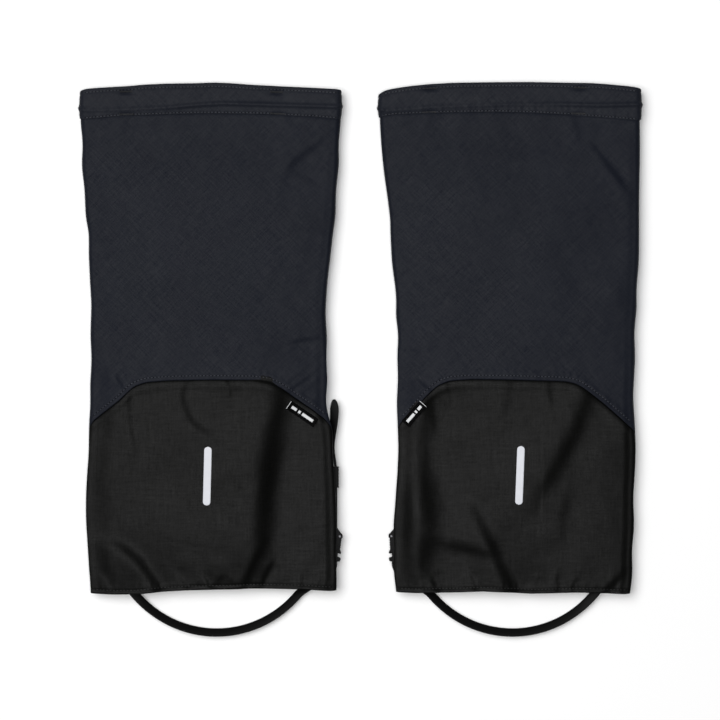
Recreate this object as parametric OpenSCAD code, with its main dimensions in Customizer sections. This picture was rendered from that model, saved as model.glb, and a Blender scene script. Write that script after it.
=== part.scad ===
// Pair of mountaineering gaiters, lying flat with the calf side up.
// +X to the right, +Y towards the top edge, +Z up from the floor to the calf side.
// The front closure faces the floor. Every piece is drawn as on the left gaiter, in its
// own frame: x = 0 on the centre line, +x towards the buckle side, y = 0 on the boot hem.
// place() moves it to the left, or mirrors it to the right. side is LEFT or RIGHT.

/* [Pair] */
// Distance between the two gaiters' centre lines
pair_gap = 251.2; // [248:0.2:280]
// How far the buckle side is rolled out on the left gaiter and in on the right one
lay = 3.9; // [0:0.1:4]
// How far the right gaiter's buckle and strap tail lean in under the sleeve, in degrees
tail_lean = 4.5; // [0:0.5:4.5]

/* [Sleeve] */
// Height from the boot hem to the top edge
body_len = 430; // [430:1:436]
// Half of the flat width at the top edge
top_half_w = 110; // [110:0.5:112]
// Thickness of the shell fabric with its lining
skin = 1.2; // [0.8:0.1:1.2]
// Height of the dome of the calf side above its edges
dome_h = 3; // [1:0.5:4]
// Half of the front slit
slit_half = 12; // [12:0.5:14]
// Height of the arch seam at the centre of the calf side
arch_top = 181.4; // [176:0.2:184]
// Half of the flat stretch of the arch seam
arch_flat = 47; // [40:1:52]
// Height of the arch seam at the side folds
arch_side = 144.5; // [140:0.5:148]
// Height of the upper sleeve's lower edge at the front
front_seam_y = 132; // [128:1:136]

/* [Top hem] */
// Height of the hem band
hem_h = 28; // [27:0.5:28]
// Radius of the elastic drawcord
cord_r = 1.5; // [1.3:0.1:1.5]
// Height of the drawcord above the boot hem
cord_y = 412.4; // [412:0.1:413]

/* [Instep strap] */
// Width of the strap
strap_w = 7.5; // [7:0.1:7.5]
// Thickness of the strap
strap_t = 2.2; // [1.8:0.1:2.2]
// Radius of the loop that hangs below the boot hem
loop_r = 89.6; // [88:0.2:91]
// Depth of the loop below the boot hem
loop_sag = 31; // [30:0.2:32]
// Tilt of the strap on the floor
loop_tilt = 52; // [45:1:58]
// Height of the strap tail's tip above the boot hem
tail_tip_y = 165; // [150:1:168]

/* [Buckle] */
// Radius of the lever's pivot pin
pin_r = 0.9; // [0.8:0.05:0.95]
// Radius of the lever's hub
hub_r = 1.9; // [1.7:0.05:1.9]
// Length of the lever from pivot to tip
lever_len = 14.8; // [13:0.1:15]

/* [Front closure] */
// Width of the storm flap beyond its sewn edge
flap_w = 63; // [58:1:64]
// Thickness of the storm flap
flap_t = 1.8; // [1.8:0.1:1.9]
// Throat radius of the lace hook
lace_r = 2.2; // [2:0.05:2.3]

/* [Hidden] */
NODES = [
  "left_upper_shell", "left_lower_shell", "left_top_hem", "left_drawcord",
  "left_cord_lock_body", "left_cord_lock_plunger", "left_cord_lock_spring", "left_cord_end_tab",
  "left_storm_flap", "left_loop_strip", "left_underflap", "left_hook_strip",
  "left_snap_cap", "left_snap_socket", "left_snap_stud",
  "left_lace_hook", "left_lace_hook_rivets",
  "left_instep_strap", "left_strap_tail", "left_strap_anchor_patch", "left_strap_anchor_rivet",
  "left_strap_keeper",
  "left_buckle_frame", "left_buckle_lever", "left_buckle_pin", "left_buckle_webbing",
  "left_reflective_bar", "left_label", "left_bar_tacks",
  "right_upper_shell", "right_lower_shell", "right_top_hem", "right_drawcord",
  "right_cord_lock_body", "right_cord_lock_plunger", "right_cord_lock_spring",
  "right_cord_end_tab",
  "right_storm_flap", "right_loop_strip", "right_underflap", "right_hook_strip",
  "right_snap_cap", "right_snap_socket", "right_snap_stud",
  "right_lace_hook", "right_lace_hook_rivets",
  "right_instep_strap", "right_strap_tail", "right_strap_anchor_patch",
  "right_strap_anchor_rivet", "right_strap_keeper",
  "right_buckle_frame", "right_buckle_lever", "right_buckle_pin", "right_buckle_webbing",
  "right_reflective_bar", "right_label", "right_bar_tacks"
];
node = "all";
$fn = 48;

LEFT = 1;
RIGHT = -1;

softshell = [0.14, 0.15, 0.17];
packcloth = [0.10, 0.10, 0.10];
webcol = [0.07, 0.07, 0.07];
plastic = [0.05, 0.05, 0.055];
steel = [0.55, 0.56, 0.58];

// lowest point of the loop and the middle of the pair along Y
loop_low = loop_sag + (strap_w*cos(loop_tilt) + strap_t*sin(loop_tilt))/2;
mid_y = (body_len - loop_low)/2;

// layers of the flat-lying front, from the floor up: undersides above the storm flap
layer_gap = 0.05;
strip_t = 0.9; // loop and hook strips
under_t = 1;   // underflap
loop_z = flap_t + layer_gap;
hook_z = loop_z + strip_t + layer_gap;
under_z = hook_z + strip_t + layer_gap;
front_z = under_z + under_t + layer_gap; // front wall of the shells
raised_z = 10.4;                         // front wall where the strap runs under it

// top hem; the band's middle line is a flat stadium
hem_half_t = 1.2;
hem_r = 3.5;                    // side bend
hem_z0 = front_z + hem_half_t;  // middle of the front band
hem_z1 = hem_z0 + 2*hem_r;      // middle of the back band
hem_mid_z = (hem_z0 + hem_z1)/2;
hem_y0 = body_len - hem_h;
bend_x = top_half_w - hem_r - hem_half_t;

// ---- helpers ----
function sstep(a, b, v) = let(t = min(1, max(0, (v - a)/(b - a)))) t*t*(3 - 2*t);
// two triangles for a four-cornered face
function quad(a, b, c, d) = [[a, b, c], [a, c, d]];

module place(side) {
  translate([-side*pair_gap/2, -mid_y, 0])
    if (side == LEFT) children(); else mirror([1, 0, 0]) children();
}
// cylinders that start at a point and run along +X or +Y
module rod_x(start, r, h) {
  translate(start) rotate([0, 90, 0]) cylinder(r = r, h = h);
}
module rod_y(start, r, h) {
  translate(start) rotate([-90, 0, 0]) cylinder(r = r, h = h);
}
// flat strip with rounded corners
module strip(x0, x1, y0, y1, z0, thick, r) {
  translate([0, 0, z0]) linear_extrude(thick) {
    translate([x0 + r, y0]) square([x1 - x0 - 2*r, y1 - y0]);
    translate([x0, y0 + r]) square([x1 - x0, y1 - y0 - 2*r]);
    for (p = [[x0 + r, y0 + r], [x1 - r, y0 + r], [x0 + r, y1 - r], [x1 - r, y1 - r]])
      translate(p) circle(r = r);
  }
}

// ---- sleeve surface ----
// [height, flat half width], away from the buckle and on the buckle side
outer_widths = [[0, 102], [64, 104.6], [205, 103], [286, 105.8], [402, top_half_w]];
buckle_widths = [[0, 101], [64, 101], [144, 98.7], [205, 95.3], [240, 96], [286, 100],
  [346, 105.4], [402, top_half_w]];
roll_end_y = 330; // the roll of the buckle side fades out here
function roll(y, side) = y < roll_end_y ? side*lay*(1 - y/roll_end_y) : 0;
function outer_w(y) = lookup(y, outer_widths);
function buckle_w(y, side) = roll(y, side) + lookup(y, buckle_widths);

// heights of the calf side's edges, of its dome above them and of the front wall
function edge_z(y) = hem_z1 + hem_half_t + 0.8*sstep(400, 330, y);
function dome(y) = dome_h*sstep(400, 340, y)*(0.45 + 0.55*sstep(0, 60, y));
// the front wall rises towards the sides low down, further up on the buckle side
function wall_z(x, y) = front_z + (raised_z - front_z)*sstep(38, 56, abs(x))
  *(x > 0 ? sstep(225, 196, y) : sstep(150, 122, y));
function fold_r(y) = 4 + 0.7*sstep(340, 402, y);

// The C-shaped cross section runs in steps k from the slit along the outer front wall,
// round the outer fold, over the calf side, round the buckle-side fold, back to the slit.
front_steps = 5; // on each front wall
fold_steps = 5;  // on each side fold
back_steps = 14; // on the calf side
back_start = front_steps + fold_steps;
back_end = back_start + back_steps;
fold_end = back_end + fold_steps;
last_step = fold_end + front_steps;

// point on a side fold; angle is 0 on the front wall and 180 on the calf side
function fold_pt(dir, w, angle, y, depth) = let(
    r = fold_r(y), xc = w - r, z0 = wall_z(xc, y), z1 = edge_z(y), half_h = (z1 - z0)/2)
  [dir*(xc + (r - depth)*sin(angle)), (z0 + z1)/2 - (half_h - depth)*cos(angle)];
// [x, z] at step k; depth is measured inwards from the outer surface
function section_pt(k, y, depth, side) = let(
    wo = outer_w(y), wb = buckle_w(y, side), r = fold_r(y))
  k <= front_steps ? let(x = -slit_half - k/front_steps*(wo - r - slit_half))
    [x, wall_z(x, y) + depth]
  : k <= back_start ? fold_pt(-1, wo, 180*(k - front_steps)/fold_steps, y, depth)
  : k <= back_end ? let(t = (k - back_start)/back_steps, x0 = -(wo - r), x1 = wb - r,
      across = 2*t - 1)
    [x0 + t*(x1 - x0), edge_z(y) + dome(y)*(1 - across*across) - depth]
  : k <= fold_end ? fold_pt(1, wb, 180 - 180*(k - back_end)/fold_steps, y, depth)
  : let(t = (k - fold_end)/front_steps, x = (wb - r) - t*(wb - r - slit_half))
    [x, wall_z(x, y) + depth];

// arch seam: level at the centre, sloping to the side folds, level again at the front
function arch_y(x, half_w) = let(a = abs(x)) a < arch_flat ? arch_top
  : arch_top - (arch_top - arch_side)*pow((a - arch_flat)/(half_w - arch_flat), 0.92);
// rise of the seam round a side fold, t from 0 at the front to 1 at the back
function fold_seam_y(t) = front_seam_y + (arch_side - front_seam_y)*t;
function seam_y(k, side) =
  k < front_steps ? front_seam_y
  : k <= back_start ? fold_seam_y((k - front_steps)/fold_steps)
  : k < back_end ? let(x = section_pt(k, arch_side, 0, side)[0])
    arch_y(x, x < 0 ? 100 : 95 + roll(145, side))
  : k <= fold_end ? fold_seam_y(1 - (k - back_end)/fold_steps)
  : front_seam_y;

// Closed C-shaped skin. low and high hold its two edge heights for each step k;
// rows are the fractions between them where a cross section stands.
module skin_sleeve(low, high, rows, side) {
  top = len(rows) - 1;
  pts = [for (j = [0:top]) for (depth = [0, skin]) for (k = [0:last_step])
    let(y = low[k] + (high[k] - low[k])*rows[j], p = section_pt(k, y, depth, side))
    [p[0], y, p[1]]];
  // row j, layer 0 outside or 1 inside, step k
  function id(j, layer, k) = (j*2 + layer)*(last_step + 1) + k;
  walls = [for (j = [0:top - 1]) for (k = [0:last_step - 1]) each concat(
    quad(id(j, 0, k), id(j, 0, k + 1), id(j + 1, 0, k + 1), id(j + 1, 0, k)),
    quad(id(j, 1, k), id(j + 1, 1, k), id(j + 1, 1, k + 1), id(j, 1, k + 1)))];
  edges = [for (k = [0:last_step - 1]) each concat(
    quad(id(0, 0, k), id(0, 1, k), id(0, 1, k + 1), id(0, 0, k + 1)),
    quad(id(top, 0, k), id(top, 0, k + 1), id(top, 1, k + 1), id(top, 1, k)))];
  slit = [for (j = [0:top - 1]) each concat(
    quad(id(j, 0, 0), id(j + 1, 0, 0), id(j + 1, 1, 0), id(j, 1, 0)),
    quad(id(j, 0, last_step), id(j, 1, last_step),
      id(j + 1, 1, last_step), id(j + 1, 0, last_step)))];
  polyhedron(pts, concat(walls, edges, slit), convexity = 8);
}

// ---- shells ----
seam_gap = 0.1; // from the arch seam to each shell
module upper_shell(side) {
  skin_sleeve([for (k = [0:last_step]) seam_y(k, side) + seam_gap],
    [for (k = [0:last_step]) hem_y0 - 0.2],
    [0, 0.12, 0.26, 0.42, 0.58, 0.76, 0.9, 1], side);
}
module lower_shell(side) {
  skin_sleeve([for (k = [0:last_step]) 0],
    [for (k = [0:last_step]) seam_y(k, side) - seam_gap],
    [0, 0.16, 0.34, 0.52, 0.68, 0.84, 1], side);
}

// ---- top hem and drawcord ----
tunnel_half_h = 2.8; // cord tunnel along Y
tunnel_half_t = 2.2; // cord tunnel across the band
window_x = [-24, 22]; // opening in the front of the hem
cord_free_x = -14;   // end of the cord in the end tab
cord_end_x = -30;    // other end, inside the hem

// stadium-shaped prism around the hem's middle line, grown by grow
module stadium(grow, y0, h) {
  r = hem_r + grow;
  translate([-bend_x, y0, hem_mid_z - r]) cube([2*bend_x, h, 2*r]);
  for (dir = [-1, 1]) rod_y([dir*bend_x, y0, hem_mid_z], r, h);
}
// cord path: on the front from x_free to the +x bend, over the back, and on the
// front again from the -x bend to x_end
module cord_run(r, x_free, x_end) {
  rod_x([x_free, cord_y, hem_z0], r, bend_x - x_free);
  rod_x([-bend_x, cord_y, hem_z0], r, bend_x + x_end);
  rod_x([-bend_x, cord_y, hem_z1], r, 2*bend_x);
  for (dir = [-1, 1]) translate([dir*bend_x, cord_y, hem_mid_z])
    rotate([90, 0, 0]) rotate([0, 0, dir > 0 ? -90 : 90])
      rotate_extrude(angle = 180) translate([hem_r, 0]) circle(r = r);
}
module top_hem() {
  difference() {
    union() {
      stadium(hem_half_t, hem_y0, hem_h);
      stadium(tunnel_half_t, cord_y - tunnel_half_h, 2*tunnel_half_h);
    }
    stadium(-hem_half_t, hem_y0 - 1, cord_y - tunnel_half_h - hem_y0 + 1);
    stadium(-tunnel_half_t, cord_y - 3, 6);
    stadium(-hem_half_t, cord_y + tunnel_half_h, body_len - cord_y);
    translate([window_x[0], hem_y0 - 1, hem_z0 - 4])
      cube([window_x[1] - window_x[0], hem_h + 2, 6.9]);
    cord_run(cord_r + 0.1, window_x[1] - 2, window_x[0] + 1);
  }
}
module drawcord() { cord_run(cord_r, cord_free_x, cord_end_x); }

// ---- storm flap, strips and underflap ----
hinge_x = -31; // sewn edge of the storm flap
hinge_z = front_z - layer_gap - flap_t/2;
slope_w = 12;  // from the sewn edge to where the flap meets the floor
flap_y0 = 8;
flap_y1 = 396;
snap_x = 2;
snap_y = 384;
snap_post_r = 1.5;
snap_hole_r = snap_post_r + 0.1;
hook_rivets_y = [19, 27];
rivet_hole_r = 1.3;

module storm_flap() {
  slope = [slope_w, flap_t/2 - hinge_z];
  half = [-slope[1], slope[0]]/norm(slope)*flap_t/2; // half thickness across the slope
  difference() {
    union() {
      translate([0, flap_y1, 0]) rotate([90, 0, 0]) linear_extrude(flap_y1 - flap_y0)
        polygon([[hinge_x - half[0], hinge_z - half[1]],
          [hinge_x + slope_w - half[0], 0], [hinge_x + flap_w, 0],
          [hinge_x + flap_w, flap_t], [hinge_x + slope_w + half[0], flap_t],
          [hinge_x + half[0], hinge_z + half[1]]]);
      rod_y([hinge_x, flap_y0, hinge_z], flap_t/2, flap_y1 - flap_y0);
    }
    // recess and hole for the snap cap
    translate([snap_x, snap_y, -1]) cylinder(r = 6.7, h = 1.9);
    translate([snap_x, snap_y, -1]) cylinder(r = snap_hole_r, h = 4);
  }
}
module loop_strip() { strip(9, 29, 12, 372, loop_z, strip_t, 2); }
module hook_strip() { strip(10, 28, 14, 370, hook_z, strip_t, 2); }
module underflap() {
  difference() {
    strip(-10, 33, 6, 398, under_z, under_t, 3);
    translate([snap_x, snap_y, under_z - 1]) cylinder(r = snap_hole_r, h = 3);
    for (y = hook_rivets_y) translate([0, y, under_z - 1]) cylinder(r = rivet_hole_r, h = 3);
  }
}

// ---- snap ----
// cap on the floor side, its rim bevelled below, with a post through the flap
module snap_cap() {
  difference() {
    translate([snap_x, snap_y, 0]) cylinder(r = 6.5, h = 0.85);
    translate([snap_x, snap_y, 0])
      rotate_extrude() polygon([[5.9, -0.1], [6.6, -0.1], [6.6, 0.5]]);
  }
  translate([snap_x, snap_y, 0.8]) cylinder(r = snap_post_r, h = flap_t - 0.35);
}
module snap_socket() {
  translate([snap_x, snap_y, 0]) difference() {
    translate([0, 0, flap_t + layer_gap]) cylinder(r = 5.6, h = 1.3);
    translate([0, 0, flap_t + 0.5]) cylinder(r = 2.75, h = 2);
    translate([0, 0, flap_t - 1]) cylinder(r = snap_post_r + 0.05, h = 3);
  }
}
// from the floor up: knob, plate, post through the underflap, head
module snap_stud() {
  translate([snap_x, snap_y, 0]) {
    translate([0, 0, flap_t + 0.6]) cylinder(r = 2.6, h = 1);
    translate([0, 0, under_z - 0.5]) cylinder(r = 5.2, h = 0.45);
    translate([0, 0, under_z - 0.2]) cylinder(r = snap_post_r, h = 1.5);
    translate([0, 0, under_z + under_t + layer_gap]) cylinder(r = 4, h = 0.6);
  }
}

// ---- lace hook ----
hook_t = 1.2;
hook_w = 12;
plate_z = under_z + under_t + layer_gap;
throat_y = 10.6;
throat_z = plate_z + hook_t + lace_r;

// base plate, short upper lip and the half ring that joins them
module lace_hook() {
  difference() {
    union() {
      translate([-hook_w/2, throat_y, plate_z]) cube([hook_w, 21, hook_t]);
      translate([-hook_w/2, throat_y, throat_z + lace_r]) cube([hook_w, 5, hook_t]);
      translate([-hook_w/2, throat_y, throat_z]) rotate([0, 90, 0]) difference() {
        cylinder(r = lace_r + hook_t, h = hook_w);
        translate([-6, 0, -1]) cube([12, 6, hook_w + 2]);
      }
    }
    rod_x([-hook_w/2 - 1, throat_y, throat_z], lace_r, hook_w + 2);
    for (y = hook_rivets_y) translate([0, y, plate_z - 1]) cylinder(r = rivet_hole_r, h = 3);
  }
}
module lace_hook_rivets() {
  for (y = hook_rivets_y) translate([0, y, 0]) {
    translate([0, 0, under_z - 0.65]) cylinder(r = 2.6, h = 0.6);
    translate([0, 0, under_z - 0.2]) cylinder(r = rivet_hole_r - 0.1, h = 2.7);
    translate([0, 0, under_z + 2.3]) cylinder(r1 = 2.5, r2 = 1.8, h = 0.7);
  }
}

// ---- drawcord lock ----
lock_x = 4;
lock_l = 15; // along the cord
lock_mid_x = lock_x + lock_l/2;
lock_y0 = 402.5;
lock_floor = 1.2;
barrel_r = 4.5;
barrel_l = 17.5;
boss_l = 5;
plunger_r = 3.6;
plunger_y0 = 408.9;
plunger_l = 14.6;

// barrel along Y, open at its upper end, with a boss on each side for the cord
module cord_lock_body() {
  difference() {
    union() {
      rod_y([lock_mid_x, lock_y0, hem_z0], barrel_r, barrel_l);
      // ring at the mouth, flush with the barrel
      rod_y([lock_mid_x, lock_y0 + barrel_l - 2, hem_z0], barrel_r, 2);
      for (dir = [-1, 1]) translate([lock_mid_x + dir*(lock_l - boss_l)/2, cord_y, hem_z0])
        rotate([0, 90, 0]) cylinder(r = 3.4, h = boss_l, center = true);
    }
    rod_y([lock_mid_x, lock_y0 + lock_floor, hem_z0], plunger_r + 0.1, 20);
    rod_x([lock_x - 1, cord_y, hem_z0], cord_r + 0.1, lock_l + 2);
  }
}
// plunger with a tapered button and a cross slot for the cord
module cord_lock_plunger() {
  slot_r = cord_r + 0.2;
  slot_l = 3.2; // between the slot's end centres
  slot_x = lock_mid_x - 5;
  difference() {
    union() {
      rod_y([lock_mid_x, plunger_y0, hem_z0], plunger_r, plunger_l);
      translate([lock_mid_x, plunger_y0 + plunger_l, hem_z0])
        rotate([-90, 0, 0]) cylinder(r1 = plunger_r, r2 = 2.6, h = 1.2);
    }
    rod_x([slot_x, cord_y, hem_z0], slot_r, 10);
    rod_x([slot_x, cord_y + slot_l, hem_z0], slot_r, 10);
    translate([slot_x, cord_y, hem_z0 - slot_r]) cube([10, slot_l, 2*slot_r]);
  }
}
// coil along Y between the barrel's floor and the plunger
module cord_lock_spring() {
  turns = 3;
  turn_steps = 14;
  wire_sides = 6;
  coil_r = 2.4;
  wire_r = 0.25;
  end_gap = 0.35; // from the wire's centre to the faces at each end
  y0 = lock_y0 + lock_floor + end_gap;
  y1 = plunger_y0 - end_gap;
  steps = turns*turn_steps;
  pts = [for (i = [0:steps]) for (q = [0:wire_sides - 1])
    let(turn = 360*i/turn_steps, around = 360*q/wire_sides, r = coil_r + wire_r*cos(around))
    [lock_mid_x + r*cos(turn), y0 + (y1 - y0)*i/steps + wire_r*sin(around),
      hem_z0 - r*sin(turn)]];
  function id(i, q) = i*wire_sides + q%wire_sides;
  faces = concat(
    [[for (q = [0:wire_sides - 1]) q]],
    [[for (q = [wire_sides - 1:-1:0]) id(steps, q)]],
    [for (i = [0:steps - 1]) for (q = [0:wire_sides - 1])
      each quad(id(i, q), id(i + 1, q), id(i + 1, q + 1), id(i, q + 1))]);
  polyhedron(pts, faces, convexity = 10);
}
// tapered tab with a round tip, on the cord's free end
module cord_end_tab() {
  tip_x = -20;
  tip_r = 1.9;
  difference() {
    union() {
      translate([tip_x, cord_y, hem_z0])
        rotate([0, 90, 0]) cylinder(r1 = tip_r, r2 = 2.6, h = 14);
      translate([tip_x, cord_y, hem_z0]) sphere(r = tip_r);
    }
    rod_x([cord_free_x - 0.2, cord_y, hem_z0], cord_r + 0.05, 12);
  }
}

// ---- instep strap ----
strap_shift = 3.4/3.9*lay;  // sideways shift of the strap and its hardware
anchor_z = 6.9;             // height of the strap's middle at the anchor
floor_z = 4.6;              // and along the loop
strap_z = 5;                // and in the buckle
tail_x = 101.6;             // middle of the strap in the buckle
strap_end_y = 26.6;         // where the strap enters the buckle
anchor_hole_r = 1.6;

// path: an arc from the anchor to the hem on the buckle side, then a curve to the buckle
arc_steps = 30;
curve_steps = 12;
last_pt = arc_steps + curve_steps;
loop_centre = [0.9, loop_r - loop_sag];
start_angle = -158;
hem_angle = -asin(loop_centre[1]/loop_r);
function arc_pt(angle) = loop_centre + loop_r*[cos(angle), sin(angle)];
function bezier(p0, p1, p2, p3, t) =
  pow(1 - t, 3)*p0 + 3*t*pow(1 - t, 2)*p1 + 3*t*t*(1 - t)*p2 + t*t*t*p3;
curve_start = arc_pt(hem_angle);
curve_dir = [-sin(hem_angle), cos(hem_angle)];
curve_end = [tail_x, strap_end_y];
strap_path = concat(
  [for (i = [0:arc_steps]) arc_pt(start_angle + (hem_angle - start_angle)*i/arc_steps)],
  [for (i = [1:curve_steps])
    bezier(curve_start, curve_start + 12*curve_dir, curve_end - [0, 12], curve_end,
      i/curve_steps)]);

// The strap lies flat at the anchor, tilts along the loop and stands up in the buckle.
function from_anchor(i) = sstep(1, 9, i);
function to_buckle(i) = sstep(arc_steps, last_pt, i);
function strap_tilt(i) = i <= arc_steps ? loop_tilt*from_anchor(i)
  : loop_tilt + (90 - loop_tilt)*to_buckle(i);
function strap_mid_z(i) = i <= arc_steps ? anchor_z - (anchor_z - floor_z)*from_anchor(i)
  : floor_z + (strap_z - floor_z)*to_buckle(i);
function unit2(v) = v/norm(v);
function strap_dir(i) = i == 0 ? [-sin(start_angle), cos(start_angle)]
  : i == last_pt ? [0, 1]
  : unit2(strap_path[i + 1] - strap_path[i - 1]);
anchor = arc_pt(start_angle) - 8*strap_dir(0);

module instep_strap() {
  pts = [for (i = [0:last_pt])
    let(dir = strap_dir(i), across = [dir[1], -dir[0]], tilt = strap_tilt(i))
    for (corner = [[-1, -1], [1, -1], [1, 1], [-1, 1]])
      let(a = corner[0]*strap_w/2, b = corner[1]*strap_t/2,
        p = strap_path[i] + across*(a*cos(tilt) - b*sin(tilt)))
      [p[0], p[1], strap_mid_z(i) + a*sin(tilt) + b*cos(tilt)]];
  function id(i, q) = 4*i + q%4;
  faces = concat(
    [[3, 2, 1, 0]],
    [[for (q = [0:3]) id(last_pt, q)]],
    [for (i = [0:last_pt - 1]) for (q = [0:3])
      each quad(id(i, q), id(i, q + 1), id(i + 1, q + 1), id(i + 1, q))]);
  polyhedron(pts, faces, convexity = 6);
  // rounded end at the anchor
  dir = strap_dir(0);
  translate([anchor[0], anchor[1], anchor_z - strap_t/2])
    rotate([0, 0, atan2(dir[1], dir[0])]) difference() {
      union() {
        cylinder(r = strap_w/2, h = strap_t);
        translate([0, -strap_w/2, 0]) cube([8, strap_w, strap_t]);
      }
      translate([0, 0, -1]) cylinder(r = anchor_hole_r, h = 5);
    }
}
// sideways place and lean of the buckle, tail and keeper
module hardware(side) {
  translate([side*strap_shift + tail_x, strap_end_y, 0])
    rotate([0, 0, side == RIGHT ? tail_lean : 0])
      translate([-tail_x, -strap_end_y, 0]) children();
}
// straight tail on edge, with a pointed tip
module strap_tail() {
  half_w = strap_w/2;
  start_y = strap_end_y + 0.3;
  translate([tail_x - strap_t/2, 0, strap_z]) rotate([90, 0, 90]) linear_extrude(strap_t)
    polygon([[start_y, -half_w], [tail_tip_y - 9, -half_w], [tail_tip_y - 1.5, -1.2],
      [tail_tip_y, 0], [tail_tip_y - 1.5, 1.2], [tail_tip_y - 9, half_w],
      [start_y, half_w]]);
}
module strap_anchor_patch() {
  translate([anchor[0], anchor[1], 0]) difference() {
    strip(-11, 11, -13, 13, 8.1, 2.1, 2);
    translate([0, 0, 9.1]) cylinder(r = 4.4, h = 3); // recess for the rivet's head
    translate([0, 0, 7]) cylinder(r = anchor_hole_r, h = 5);
  }
}
module strap_anchor_rivet() {
  translate([anchor[0], anchor[1], 0]) {
    translate([0, 0, 4.6]) cylinder(r1 = 2.4, r2 = 3.4, h = 1.1);
    translate([0, 0, 5.5]) cylinder(r = anchor_hole_r - 0.1, h = 4);
    translate([0, 0, 9.2]) cylinder(r = 4.1, h = 0.7);
  }
}
// clearance between the strap tail and the parts beside it
strap_gap = 0.2;
// rectangular sleeve around the strap tail
module strap_keeper() {
  wall = 1;
  keeper_h = 9.9;
  inner_w = strap_t + 2*strap_gap;
  translate([tail_x - inner_w/2 - wall, 90.7, 0.05]) difference() {
    cube([inner_w + 2*wall, 17.7, keeper_h]);
    translate([wall, -1, wall]) cube([inner_w, 20, keeper_h - 2*wall]);
  }
}

// ---- buckle ----
frame_h = 10;
cheek_t = 1.1;
lever_h = 7.4;
webbing_w = 7.5;
plate_t = 1.5;
plate_l = 27.9;
plate_y0 = 28.6;
plate_x = tail_x - strap_t/2 - strap_gap - plate_t;
pivot = [tail_x + strap_t/2 + hub_r + strap_gap, 49.8];
bar = [98, 59.5]; // axis of the webbing bar

// side wall of the frame
module cheek() {
  linear_extrude(cheek_t) {
    translate([plate_x, plate_y0]) square([4.2, plate_l]);
    translate([plate_x, 44]) square([pivot[0] - plate_x, 8.2]);
    translate(pivot) circle(r = 2.4);
    polygon([[plate_x, 56.5], [plate_x + 3.4, 57.2], [pivot[0] + 2.3, 50.4],
      [pivot[0], 47.5], [plate_x, 46]]);
    polygon([[plate_x, plate_y0], [plate_x + 4.8, plate_y0], [plate_x + 6.7, 30.2],
      [plate_x + 6.3, 31.4], [plate_x + 4.6, 32], [plate_x, 31.8]]);
    translate([plate_x - 2, 54]) square([4, 5.5]);
    translate(bar) circle(r = 1.9);
  }
}
// two cheeks joined by the plate, a crossbar at the strap's entry and the webbing bar
module buckle_frame() {
  difference() {
    union() {
      cheek();
      translate([0, 0, frame_h - cheek_t]) cheek();
      translate([plate_x, plate_y0, 0]) cube([plate_t, plate_l, frame_h]);
      translate([plate_x + 4.2, 28.8, 0]) cube([1.9, 2.4, frame_h]);
      translate([bar[0], bar[1], 0]) cylinder(r = 1, h = frame_h);
    }
    translate([pivot[0], pivot[1], -1]) cylinder(r = pin_r + 0.01, h = 12);
    // grooves in the plate's face towards the strap
    for (y = [33.5:3:42.5]) translate([plate_x + plate_t, y, 1.6])
      rotate([0, 0, 45]) cube([0.5, 0.5, 6.8]);
  }
}
module buckle_pin() {
  translate([pivot[0], pivot[1], 0]) cylinder(r = pin_r, h = frame_h);
}
// tapering lever with a row of four rounded ribs
module buckle_lever() {
  back_x = -hub_r + 0.05;
  translate([pivot[0], pivot[1], (frame_h - lever_h)/2]) difference() {
    linear_extrude(lever_h) {
      circle(r = hub_r);
      polygon([[back_x, 0], [back_x, -lever_len + 0.5], [0.8, -lever_len],
        [1.1, -lever_len + 0.8], [0.5, -lever_len + 2.6], [0.1, -lever_len + 3.4],
        [hub_r - 0.5, -1.5], [hub_r, 0]]);
      for (i = [0:3]) translate([0.05 + 0.26*i, -9.6 + 2*i]) circle(r = 0.55);
    }
    translate([0, 0, -1]) cylinder(r = pin_r + 0.06, h = 10);
  }
}
module buckle_webbing() {
  t = 1.9;
  translate([0, 0, (frame_h - webbing_w)/2]) linear_extrude(webbing_w) difference() {
    union() {
      translate(bar) circle(r = 2);
      translate([bar[0] - t/2, bar[1]]) square([t, 24.5]);
    }
    translate(bar) circle(r = 1.08);
  }
}

// ---- trim on the calf side ----
module reflective_bar(side) {
  bar_w = 6.3;
  bar_l = 43.2; // between the centres of the round ends
  translate([side == LEFT ? -2.9 : -8.2, 100.8, edge_z(100) + dome(100) + 0.1])
    rotate([0, 0, side == LEFT ? -1.5 : 2.2]) linear_extrude(0.3) {
      square([bar_w, bar_l], center = true);
      for (dir = [-1, 1]) translate([0, dir*bar_l/2]) circle(r = bar_w/2);
    }
}
module label(side) {
  translate([side == LEFT ? 76.6 : 79.6, 152.9, edge_z(150) + dome_h*0.62])
    rotate([0, 0, side == LEFT ? -34 : -48]) strip(-13.5, 13.5, -4, 4, 0, 0.8, 0.8);
}
module bar_tacks(side) {
  for (x = [-62.6, 62.6]) for (y = [405.7, 424.2])
    translate([x - (side == LEFT ? 7.8 : -4.4), y, hem_z1 + hem_half_t + 0.05])
      strip(-6, 6, -0.9, 0.9, 0, 0.5, 0.4);
}

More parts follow.
